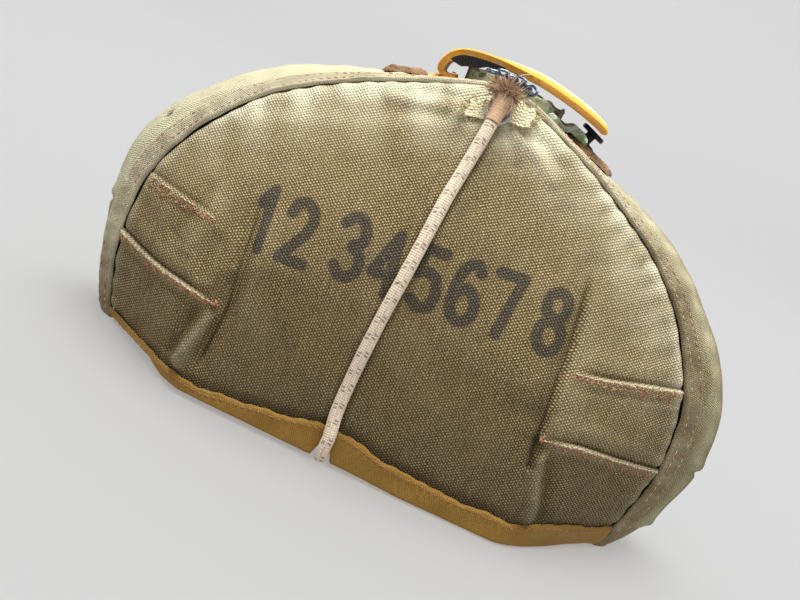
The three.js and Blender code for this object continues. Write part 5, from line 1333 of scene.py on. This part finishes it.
def strap():
    L = catmull(np.array(STRAP_PTS, float), 14)
    s = np.concatenate([[0], np.cumsum(np.hypot(*np.diff(L, axis=0).T))])
    N = 230; k = np.linspace(0, s[-1], N)
    x, z = np.interp(k, s, L[:, 0]), np.interp(k, s, L[:, 1])
    d = unit(np.stack([np.gradient(x), np.gradient(z)], 1)); nx, nz = -d[:, 1], d[:, 0]
    # section: a flat band with soft edges, walked round once
    K = 15; yy = np.linspace(0, 1, K)
    half = 1.75
    top = [(y, half * (0.62 + 0.38 * math.sin(math.pi * min(1, 12 * min(y, 1 - y) + 0.05) / 2))) for y in 0.5 - 0.5 * np.cos(yy * np.pi)]
    h0, h1 = top[0][1], top[-1][1]
    ring = ([(y, h, 0) for y, h in top] + [(1.0, -h1, 1), (1.0, -h1 - 0.05, 2)] + [(y, -h - 0.1, 3) for y, h in top[::-1]] + [(0.0, -h0 - 0.05, 2), (0.0, -h0, 1)])
    taper = 5.5 * smooth(34, 44.5, x)
    foot = smooth(10.0, 4.0, k)
    y0 = 49.5 + taper * 0.35 + 1.2 * foot; y1 = 75.5 - taper - 1.2 * foot
    roll = 0.115 * smooth(-22, 12, x)
    G = np.zeros((N, len(ring), 3)); pale = np.zeros((N, len(ring))); dark = np.zeros((N, len(ring)))
    inner = (1.7 + 1.8 * smooth(-13, -20, x)) * smooth(13, 18, k) * smooth(-4, -9, x)      # black-coloured thickness fills the inside of the loop, as painted shade
    thick = 1 - 0.42 * foot
    tip = np.sqrt(np.clip((s[-1] - k) / 1.6, 0.02, 1))
    for j, (f, o, kind) in enumerate(ring):
        y = y0 + (y1 - y0) * f
        rib = 0.10 * np.sin(k * 2 * np.pi / 1.5) * (0.15 < f < 0.85 or True)
        o2 = (o * thick + np.sign(o) * rib * 0.6) * (0.5 + 0.5 * tip)
        hem = 0.22 * (np.exp(-((f - 0.07) / 0.02) ** 2) + np.exp(-((f - 0.93) / 0.02) ** 2))
        o2 = o2 - np.sign(o) * hem
        if kind == 3:
            o2 = o2 - inner
        # painted shade on the loop's inner face
        if kind > 1:
            dark[:, j] = smooth(0.3, 0.7, inner)
        G[:, j] = np.stack([x + nx * o2, y + 0 * x, z + nz * o2 + (y - 49.5) * roll], 1)
        # painted highlight on the strap's top face, stronger to the right
        pale[:, j] = 0.75 * (o > 0) * float(smooth(0.3, 0.7, f)) * (0.3 + 0.7 * smooth(-20, 0, x)) * (k > 14) + 0.05 * (o < 0)
    V = np.vstack([G.reshape(-1, 3), G[0].mean(0)[None], G[-1].mean(0)[None]])
    n = len(ring); Q = grid_quads(N, n, wrap2=True)
    tris = []
    for j in range(n):
        q = (j + 1) % n
        tris += [(N * n, q, j), (N * n + 1, (N - 1) * n + j, (N - 1) * n + q)]
    tris = np.array(tris)
    if volume(V, Q) < 0:
        Q, tris = Q[:, ::-1], tris[:, ::-1]
    P2 = pale + 0.18 * waves(G[..., 0], G[..., 1], 6, 5, 22, 91) * (pale > 0.02)
    per = np.concatenate([[0], np.cumsum(np.linalg.norm(np.diff(G[N // 2], axis=0), axis=1))])
    uv = np.stack([np.tile(per, N), np.repeat(k, n)], 1)
    ob = make("strap", V, Q, strap_mat, body=None, tris=tris, uv=np.vstack([uv, [[0, 0], [0, k[-1]]]]),
              attrs={"pale": np.clip(np.concatenate([P2.ravel(), [0, 0.4]]), 0, 1), "lining": np.concatenate([dark.ravel(), [0, 0]])}, slot="strap_webbing", angle=60)
    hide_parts("retaining_strap")
    a, b = row([(-31.5, 62.5, 163.9), (-31.2, 62.5, 168.2)])
    tuple(a)
    tuple(b)
    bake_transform(ob)
    cloth(ob, G[:, :K])
    # cross-stitched foot
    st = Strands(); r = np.random.default_rng(3)
    for f in np.linspace(0.1, 0.9, 10):
        p = np.array([-26.0, 50 + 25 * f, 164.6]); st.stitch(p, np.array([0, 1.0, 0]), np.array([0, 0, 1.0]), 2.0, 0.6, 0.3, r.uniform(0.4, 0.9))
    st.build("strap_foot_stitches", stitch_mat, slot="strap_webbing")


def t_at(x):
    ts = np.linspace(0, 1, 6000)
    return float(np.interp(x, seam(ts)[0], ts))


def pad(name, node, t0, t1, s0, s1, lo, hi, mat, slot, seed, ragged=0.0, ridge=0.25):
    r = np.random.default_rng(seed)
    R, C = 70, 60
    a = np.linspace(0, 1, R)[:, None]; b = np.linspace(0, 1, C)[None, :]
    T = t0 + (t1 - t0) * a + ragged * 0.002 * np.sin(b * 17 + seed) * (2 * a - 1) + 0 * b
    S = s0 + (s1 - s0) * b + 0 * a
    e = np.minimum(np.minimum(a, 1 - a) * (R / 10), np.minimum(b, 1 - b) * (C / 12))
    o = lo + (hi - lo) * np.clip(e, 0, 1) ** 0.5 + ridge * waves(a * 16, b * 25, 8, 4, 12, seed)
    ring = np.minimum(np.minimum(a, 1 - a) * 16, np.minimum(b, 1 - b) * 26)
    o = o - 0.45 * np.exp(-((ring - 2.0) / 0.4) ** 2)
    out, _ = gusset_points(T, S, np.clip(o, lo + 0.1, hi + 0.8), relief=False)
    inn, _ = gusset_points(T, S, lo, relief=False)
    V, F = shell(out.reshape(-1, 3), inn.reshape(-1, 3), grid_quads(R, C))
    uv = np.stack([a * 16 + 0 * b, b * 25 + 0 * a], -1).reshape(-1, 2)
    at = {"pale": np.full(len(V), 0.1), "lining": np.zeros(len(V))} if mat is strap_mat else None
    ob = make(name, V, F, mat, uv=np.vstack([uv, uv]), stands_for=node, slot=slot, attrs=at, angle=70)
    return ob


def stud():
    base = gusset(np.array(t_at(36.0)), np.array((61.0 - 37) / (SEAM_BACK_Y - 37)))
    ax = np.array([math.sin(0.36), 0, math.cos(0.36)])
    V, Q, uv = lathe(round_profile([[0, 2.9], [5.4, 2.9], [5.4, 4.0], [2.3, 4.4], [2.3, 8.3], [1.8, 8.9], [0, 8.9]], 0.4, 4), 40, base, ax)
    make("press_stud_post", V, Q, stud_mat, uv=uv, stands_for="snap_stud", slot="stud_metal")
    V, Q, uv = lathe(round_profile([[3.3, 7.9], [5.8, 7.9], [5.8, 9.9], [3.3, 9.9], [3.3, 7.9]], 0.5, 4), 40, base, ax)
    make("press_stud_socket", V, Q, stud_mat, body="strap_body", uv=uv, stands_for="snap_socket", slot="stud_metal")


def collar_flap():
    """The collar's cloth spreads to the right along the crown, under the strap's end."""
    R, C = 110, 90
    a = np.linspace(0, 1, R)[:, None]; b = np.linspace(0, 1, C)[None, :]
    T = t_at(17.0) + (t_at(35.5) - t_at(17.0)) * a + 0.0025 * np.sin(b * 19 + 1) * a + 0 * b
    S = 0.19 + 0.45 * b + 0.012 * np.sin(a * 15) * (1 - b) + 0 * a
    x = 17 + 16.5 * a + 0 * b
    low = 0.35 + 2.5 * smooth(24, 27.5, x)
    bulge = 1.5 + 1.6 * np.sin(np.pi * np.clip(a * 0.8, 0, 1)) + 0.7 * waves(a * 17, b * 26, 9, 5, 13, 73)
    e = np.clip(np.minimum(np.minimum(a, 1 - a) * 14, np.minimum(b, 1 - b) * 18), 0, 1) ** 0.5
    o = low + 0.3 + np.clip(bulge, 0.4, 3.4) * e
    out, _ = gusset_points(T, S, o, relief=False)
    inn, _ = gusset_points(T, S, low + 0 * o, relief=False)
    V, F = shell(out.reshape(-1, 3), inn.reshape(-1, 3), grid_quads(R, C))
    uv = np.stack([x, 28 * b + 0 * a], -1).reshape(-1, 2)
    return make("neck_collar_flap", V, F, camo, uv=np.vstack([uv, uv]), slot="camo", angle=70)


def collar():
    R, C = 360, 30
    a = np.arange(R) / R * 2 * np.pi
    a = a[:, None]; b = np.linspace(0, 1, C)[None, :]
    x0 = 2 + 23.0 * np.cos(a)
    topz = 172.6 - 2.8 * smooth(-2, 24, x0) - 2.2 * smooth(-6, -20, x0) + 0.45 * np.sin(a * 7 + 1) + 0.3 * np.sin(a * 13)
    z = 158.5 + (topz - 158.5) * b
    ruf = (0.38 * np.sin(a * 11 + 0.6 * np.sin(a * 3)) + 0.24 * np.sin(a * 23 + 2)) * (0.25 + 0.75 * b) - 0.1
    ed = np.clip(np.minimum(b, 1 - b) * 12, 0, 1)
    def wall(k):
        return np.stack([2 + (23.0 - k + ruf) * np.cos(a) + 0 * b, 62 + (15.6 - k + ruf) * np.sin(a) + 0 * b, z + 0 * a], -1)
    out, inn = wall(0.1 + 0.35 * (1 - ed)), wall(1.3 - 0.3 * (1 - ed))
    V, F = shell(out.reshape(-1, 3), inn.reshape(-1, 3), grid_quads(R, C, wrap=True))
    uv = np.stack([a * 20 + 0 * b, z + 0 * a], -1).reshape(-1, 2)
    ob = make("neck_collar_cloth", V, F, camo, uv=np.vstack([uv, uv]), stands_for="neck_collar", slot="camo", angle=70)
    # rolled edge
    ring = (out[:, -1] + inn[:, -1]) / 2
    st = Strands()
    for q in range(0, R, 6):
        p = out[q, -4]; d = unit(out[(q + 2) % R, -4] - p); n = unit((p - np.array([2, 62, p[2]])) * np.array([1, 1, 0]))
        st.stitch(p, d, n, 1.6, 0.4, 0.2, 0.3)
    cloth(ob, np.concatenate([out, out[:1]]), [st.build("neck_collar_stitches", stitch_mat, slot="camo"), collar_flap()])


def chain():
    LI, W, HW = 4.4, 1.15, 1.75
    PATH = [(-12.5, 43.5, 171.6), (-7, 43.2, 172.4), (-1, 42.2, 172.9), (4, 39.8, 172.6), (8, 36, 171.2), (11, 32.6, 168.6), (13, 30.3, 165.4)]
    P, ln = centripetal(PATH, 3000)
    T = unit(np.gradient(P, axis=0)); pitch = LI - 0.45
    for k in range(6):
        i = int(round((pitch * (k + 0.5) + 0.4) / ln * 2999))
        c, d = P[i], T[i]
        s0 = unit(np.cross([0, -0.5, 0.86], d)); u0 = unit(np.cross(d, s0))
        side = unit(s0 + u0 if k % 2 else s0 - u0)
        hl = LI / 2 + W / 2 - HW
        a = np.arange(56) / 56 * 2 * np.pi
        L = c + d * (np.tanh(np.cos(a) * 6) * hl + HW * np.cos(a))[:, None] + side * (HW * np.sin(a))[:, None]
        Tn = unit(np.roll(L, -1, 0) - np.roll(L, 1, 0)); up = unit(np.cross(d, side))
        A = unit(np.cross(Tn, up)); th = np.arange(14) / 14 * 2 * np.pi
        G = L[:, None] + W / 2 * (np.cos(th)[None, :, None] * A[:, None] + np.sin(th)[None, :, None] * up)
        V = G.reshape(-1, 3); Q = grid_quads(56, 14, wrap=True, wrap2=True)
        if volume(V, Q) < 0:
            Q = Q[:, ::-1]
        make("chain_link_smooth_%d" % (k + 1), V, Q, chain_mat, stands_for="chain_link_%d" % (k + 1), slot="chain_steel")


# ------------------------------------------------------------------ neck, cap, seal
def neck_and_cap():
    nx, ny = 0.0, 62.0
    zs = np.linspace(151.8, 162.8, 70)
    outer = [(10.5 - 0.45 * (0.5 - 0.5 * math.cos((z - 151.8) * 2 * math.pi / 2.75)), z) for z in zs]
    prof = [(8.7, 141.0), (10.4, 141.0), (10.5, 150.0)] + outer + [(10.2, 163.2), (8.7, 163.2), (8.7, 141.0)]
    V, Q, uv = lathe(prof, 72, (nx, ny, 0), (0, 0, 1))
    make("neck_threaded", V, Q, alloy, uv=uv, stands_for="bottle_neck", slot="alloy")
    def knurl(P, th):
        side = (P[:, 0] > 12.6) & (P[:, 1] < 167.2) & (P[:, 1] > 153.4)
        return np.where(side[:, None], -0.42 * np.clip(np.cos(th * 36)[None, :], -0.2, 1) * smooth(153.6, 155.0, P[:, 1])[:, None] * smooth(167.1, 165.8, P[:, 1])[:, None], 0.0)
    body = [(11.2, 153.5), (13.2, 153.5)] + [(13.2, z) for z in np.linspace(154.2, 166.4, 12)] + [(13.2, 166.8), (12.0, 168.0), (9.4, 168.0), (9.0, 167.6), (6.4, 167.6), (6.0, 168.0), (2.6, 168.0), (2.6, 169.8), (2.2, 170.2), (0, 170.2), (0, 165.4), (11.2, 165.4), (11.2, 153.5)]
    V, Q, uv = lathe(round_profile(body, 0.3, 3), 216, (nx, ny, 0), (0, 0, 1), bumps=knurl)
    make("cap_moulded", V, Q, cap_mat, body="cap_body", uv=uv, stands_for="cap", slot="cap_plastic")
    V, Q, uv = lathe(round_profile([[7.5, 163.6], [10.8, 163.6], [10.8, 165.1], [7.5, 165.1], [7.5, 163.6]], 0.4), 60, (nx, ny, 0), (0, 0, 1))
    make("cap_seal", V, Q, seal_mat, body="cap_body", uv=uv, stands_for="cap_gasket", slot="seal")
    V, Q, uv = lathe(round_profile([[3.0, 168.35], [5.6, 168.35], [5.6, 169.3], [3.0, 169.3], [3.0, 168.35]], 0.35), 60, (nx, ny, 0), (0, 0, 1))
    make("cap_ring", V, Q, chain_mat, body="cap_lift_body", uv=uv, stands_for="cap_swivel_ring", slot="chain_steel")


# ------------------------------------------------------------------ belt loops
def belt_loop(sx, node):
    y0, t, g, z0, z1, w = BACK_FLAT_Y + 0.35, 2.0, 7.0, 44.0, 136.0, 40.0
    path = catmull(np.array([(y0 + 1, z0 + 0.3), (y0 + 1, z0 + 8), (y0 + 2.6, z0 + 12.5), (y0 + g - 0.6, z0 + 19.5), (y0 + g + 1, z0 + 25), (y0 + g + 1, 90), (y0 + g + 1, z1 - 25), (y0 + g - 0.6, z1 - 19.5), (y0 + 2.6, z1 - 12.5), (y0 + 1, z1 - 8), (y0 + 1, z1 - 0.3)], float), 16)
    s = np.concatenate([[0], np.cumsum(np.hypot(*np.diff(path, axis=0).T))])
    N = 220; k = np.linspace(0, s[-1], N)
    y, z = np.interp(k, s, path[:, 0]), np.interp(k, s, path[:, 1])
    d = unit(np.stack([np.gradient(y), np.gradient(z)], 1)); ny, nz = d[:, 1], -d[:, 0]
    K = 40; f = np.linspace(0, 1, K)
    e = np.clip(np.minimum(f, 1 - f) * 26, 0, 1) ** 0.5
    X = sx * 52 - w / 2 + w * f
    rib = 0.09 * np.sin(X[None, :] * 2 * np.pi / 2.6) + 0.05 * np.sin(k[:, None] * 2 * np.pi / 1.7)
    ends = np.minimum(k, s[-1] - k)[:, None]
    box = np.zeros((N, K)); xx = np.abs(X - sx * 52)[None, :]
    for zz in (1.8, 8.2):
        box = np.maximum(box, np.exp(-((ends - zz) / 0.5) ** 2) * (xx < 17.5))
    box = np.maximum(box, np.exp(-((xx - 17.0) / 0.5) ** 2) * (ends < 8.2) * (ends > 1.8))
    o = 1.0 * (0.35 + 0.65 * e)[None, :] + rib - 0.3 * box
    lo = -1.0 * (0.35 + 0.65 * e)[None, :] + 0 * o
    G = lambda o: np.stack([X[None, :] + 0 * o, y[:, None] + ny[:, None] * o, z[:, None] + nz[:, None] * o], -1)
    A, B = G(o), G(lo)
    V, F = shell(A.reshape(-1, 3), B.reshape(-1, 3), grid_quads(N, K))
    uv = np.stack([X[None, :] + 0 * o, k[:, None] + 0 * o], -1).reshape(-1, 2)
    side = "left" if sx < 0 else "right"
    ob = make("belt_loop_webbing_" + side, V, F, loop_mat, uv=np.vstack([uv, uv]), stands_for=node, slot="loop_webbing", angle=60)
    st = Strands(); r = np.random.default_rng(5)
    for end in (0, 1):
        for a, b in (((-17, 1.8), (17, 1.8)), ((-17, 8.2), (17, 8.2)), ((-17, 1.8), (-17, 8.2)), ((17, 1.8), (17, 8.2)), ((-17, 1.8), (17, 8.2)), ((17, 1.8), (-17, 8.2))):
            L = math.dist(a, b)
            for q in np.arange(1.2, L, 2.5):
                u, v = a[0] + (b[0] - a[0]) * q / L, a[1] + (b[1] - a[1]) * q / L
                zz = z0 + v if end == 0 else z1 - v
                dd = unit(np.array([b[0] - a[0], 0, (b[1] - a[1]) * (1 if end == 0 else -1)], float))
                st.stitch(np.array([sx * 52 + u, y0 + 2.02, zz]), dd, np.array([0, 1.0, 0]), 1.9, 0.55, 0.3, r.uniform(0.5, 1))
    cloth(ob, A, [st.build("belt_loop_stitches_" + side, stitch_mat, slot="loop_webbing")])


# ------------------------------------------------------------------ bottle and felt (seen through the open hem)
def inner_things():
    for node, mat in (("bottle_front_half", alloy), ("bottle_back_half", alloy)):
        ob = frame["nodes"][node]
        ob.data.materials.clear(); ob.data.materials.append(mat)
        m = ob.modifiers.new("round", "BEVEL"); m.width = 0.0008; m.segments = 2; m.limit_method = "ANGLE"; m.angle_limit = 0.9
    for node, y_of, sc, o1, direction in (("felt_lining_front", front_y, 1.0, -3.2, 1), ("felt_lining_back", back_y, BACK_SCALE, -2.6, -1)):
        G = arch_grid(120, 80, 12, 9, sc, y_of)
        n = outward(G)
        h = 0.18 * waves(G[..., 0], G[..., 2], 9, 6, 30, 71)
        V, F = shell((G + n * (o1 + h)[..., None]).reshape(-1, 3), (G + n * (o1 - 1.2 + h)[..., None]).reshape(-1, 3), grid_quads(*G.shape[:2]))
        cloth(make(node + "_cloth", V, F, felt, stands_for=node, slot="felt", angle=70), G)


# ------------------------------------------------------------------ build everything
front, front_grid = front_panel()
back, back_grid = back_panel()
side, side_grid = gusset_piece()
bindings = binding_piece("binding_front", 0.0, 0.112, "seam_binding_front", True) + binding_piece("binding_back", 0.885, 0.997, "seam_binding_back", False)
tape_front = hem_tape("hem_tape_front_wrap", "hem_tape_front", front_y, 1.0, lambda x: interp(HEM_TOP, x), lambda x: interp(HEM_LOW, x), 1, 520)
tape_back = hem_tape("hem_tape_back_wrap", "hem_tape_back", back_y, BACK_SCALE, lambda x: 9.6 + 0 * x, lambda x: 0.5 + 0.4 * np.sin(x / 17.0), -1, 420)
cloth(front, front_grid, [tape_front, front_stitches()])
cloth(back, back_grid, [tape_back])
cloth(side, side_grid, bindings)
CORD_LENGTH = shock_cord()
whipping("whipping_front", ROUTE[0], WF1, "cord_whipping_front", 11)
whipping("whipping_back", ROUTE[-1], WB1, "cord_whipping_back", 12)
tuft()
patch("patch_front_cloth", "patch_front", front_y, 1, -12.8, 12.4, 153.6, 161.2, 3)
patch("patch_back_cloth", "patch_back", back_y, -1, -20, 5.5, 138, 151, 4)
eyelet("eyelet_front_ring", "eyelet_front", front_y, 1, -1.0, 156.8)
eyelet("eyelet_back_ring", "eyelet_back", back_y, -1, CORD_X, 144.5)
strap()
pad("strap_foot", "strap_anchor", t_at(-34.4), t_at(-22.8), 0.26, 0.74, 0.35, 1.7, strap_mat, "strap_webbing", 21, ridge=0.06)
pad("yoke_left_cloth", "yoke_left", t_at(-52), t_at(-35.4), 0.26, 0.74, 0.4, 2.6, yoke_mat, "yoke_cloth", 22, ragged=1.0, ridge=0.35)
pad("yoke_right_cloth", "yoke_right", t_at(27.5), t_at(52), 0.26, 0.74, 0.4, 2.6, yoke_mat, "yoke_cloth", 23, ragged=1.0, ridge=0.35)
stud()
collar()
chain()
neck_and_cap()
belt_loop(-1, "belt_loop_left")
belt_loop(1, "belt_loop_right")
inner_things()

# ------------------------------------------------------------------ floor, backdrop and light
def stage():
    M = Mat("stage", rough=1.0, Specular_IOR_Level=0.0)
    M.color(lin(206, 206, 206))
    M.p.inputs["Emission Color"].default_value = (1, 1, 1, 1)
    s = M.t.nodes.new("ShaderNodeSeparateXYZ"); M.t.links.new(M.obj(), s.inputs[0])
    up = M.ramp(M.math("MULTIPLY", s.outputs[2], 1.6, clamp=True), (0.0, 0.0), (0.6, 1.0))      # the wall gets less light than the floor
    M.put(M.p.inputs["Emission Strength"], M.math("MULTIPLY_ADD", up, 0.06, STAGE_GLOW))
    prof = [(-3.0, 0.0), (1.6, 0.0)] + [(1.6 + 0.8 * math.sin(a), 0.8 - 0.8 * math.cos(a)) for a in np.linspace(0, np.pi / 2, 24)[1:]] + [(2.4, 4.0)]
    V = [(x, y, z) for y, z in prof for x in (-4.0, 4.0)]
    me = bpy.data.meshes.new("backdrop")
    me.from_pydata(V, [], [(2 * i, 2 * i + 1, 2 * i + 3, 2 * i + 2) for i in range(len(prof) - 1)])
    me.shade_smooth(); me.materials.append(M.m)
    ob = bpy.data.objects.new("backdrop", me)
    bpy.context.scene.collection.objects.link(ob)
    return ob


def area(name, where, at, size, power, color=(1, 1, 1)):
    li = bpy.data.lights.new(name, "AREA"); li.energy = power; li.shape = "SQUARE"; li.size = size; li.color = color
    ob = bpy.data.objects.new(name, li)
    ob.location = where
    ob.rotation_euler = (Vector(at) - Vector(where)).to_track_quat("-Z", "Y").to_euler()
    bpy.context.scene.collection.objects.link(ob)
    return ob


STAGE_GLOW = 0.28
BACKDROP = stage()
key = area("key", (-0.16, -0.08, 1.42), (0, 0, 0.09), 0.7, 34.0, (1.0, 0.985, 0.95))
fill = area("fill", (0.9, -1.2, 0.6), (0, 0, 0.08), 0.9, 2.0, (0.97, 0.985, 1.0))
floor = area("floor_light", (0.1, 0.35, 3.4), (0, 0, 0), 2.0, 24.0)
# the key and fill light the object alone, so that the floor keeps its even pale tone
coll = bpy.data.collections.new("lit")
for ob in bpy.context.scene.objects:
    if ob.type == "MESH" and ob != BACKDROP:
        coll.objects.link(ob)
for li in (key, fill):
    li.light_linking.receiver_collection = coll
only = bpy.data.collections.new("stage_only")
only.objects.link(BACKDROP)
floor.light_linking.receiver_collection = only
w = bpy.data.worlds.new("world"); bpy.context.scene.world = w; w.use_nodes = True
nt = w.node_tree; nt.nodes.clear()
bg = nt.nodes.new("ShaderNodeBackground"); wo = nt.nodes.new("ShaderNodeOutputWorld"); nt.links.new(bg.outputs[0], wo.inputs[0])
tc = nt.nodes.new("ShaderNodeTexCoord"); sx = nt.nodes.new("ShaderNodeSeparateXYZ"); nt.links.new(tc.outputs["Generated"], sx.inputs[0])
mr = nt.nodes.new("ShaderNodeMapRange"); mr.inputs[1].default_value = -0.1; mr.inputs[2].default_value = 0.8; mr.inputs[3].default_value = 0.14; mr.inputs[4].default_value = 0.55
nt.links.new(sx.outputs[2], mr.inputs[0]); nt.links.new(mr.outputs[0], bg.inputs["Strength"])
bg.inputs["Color"].default_value = (1, 1, 1, 1)
sc = bpy.context.scene
sc.view_settings.view_transform = "Standard"
sc.view_settings.look = "None"
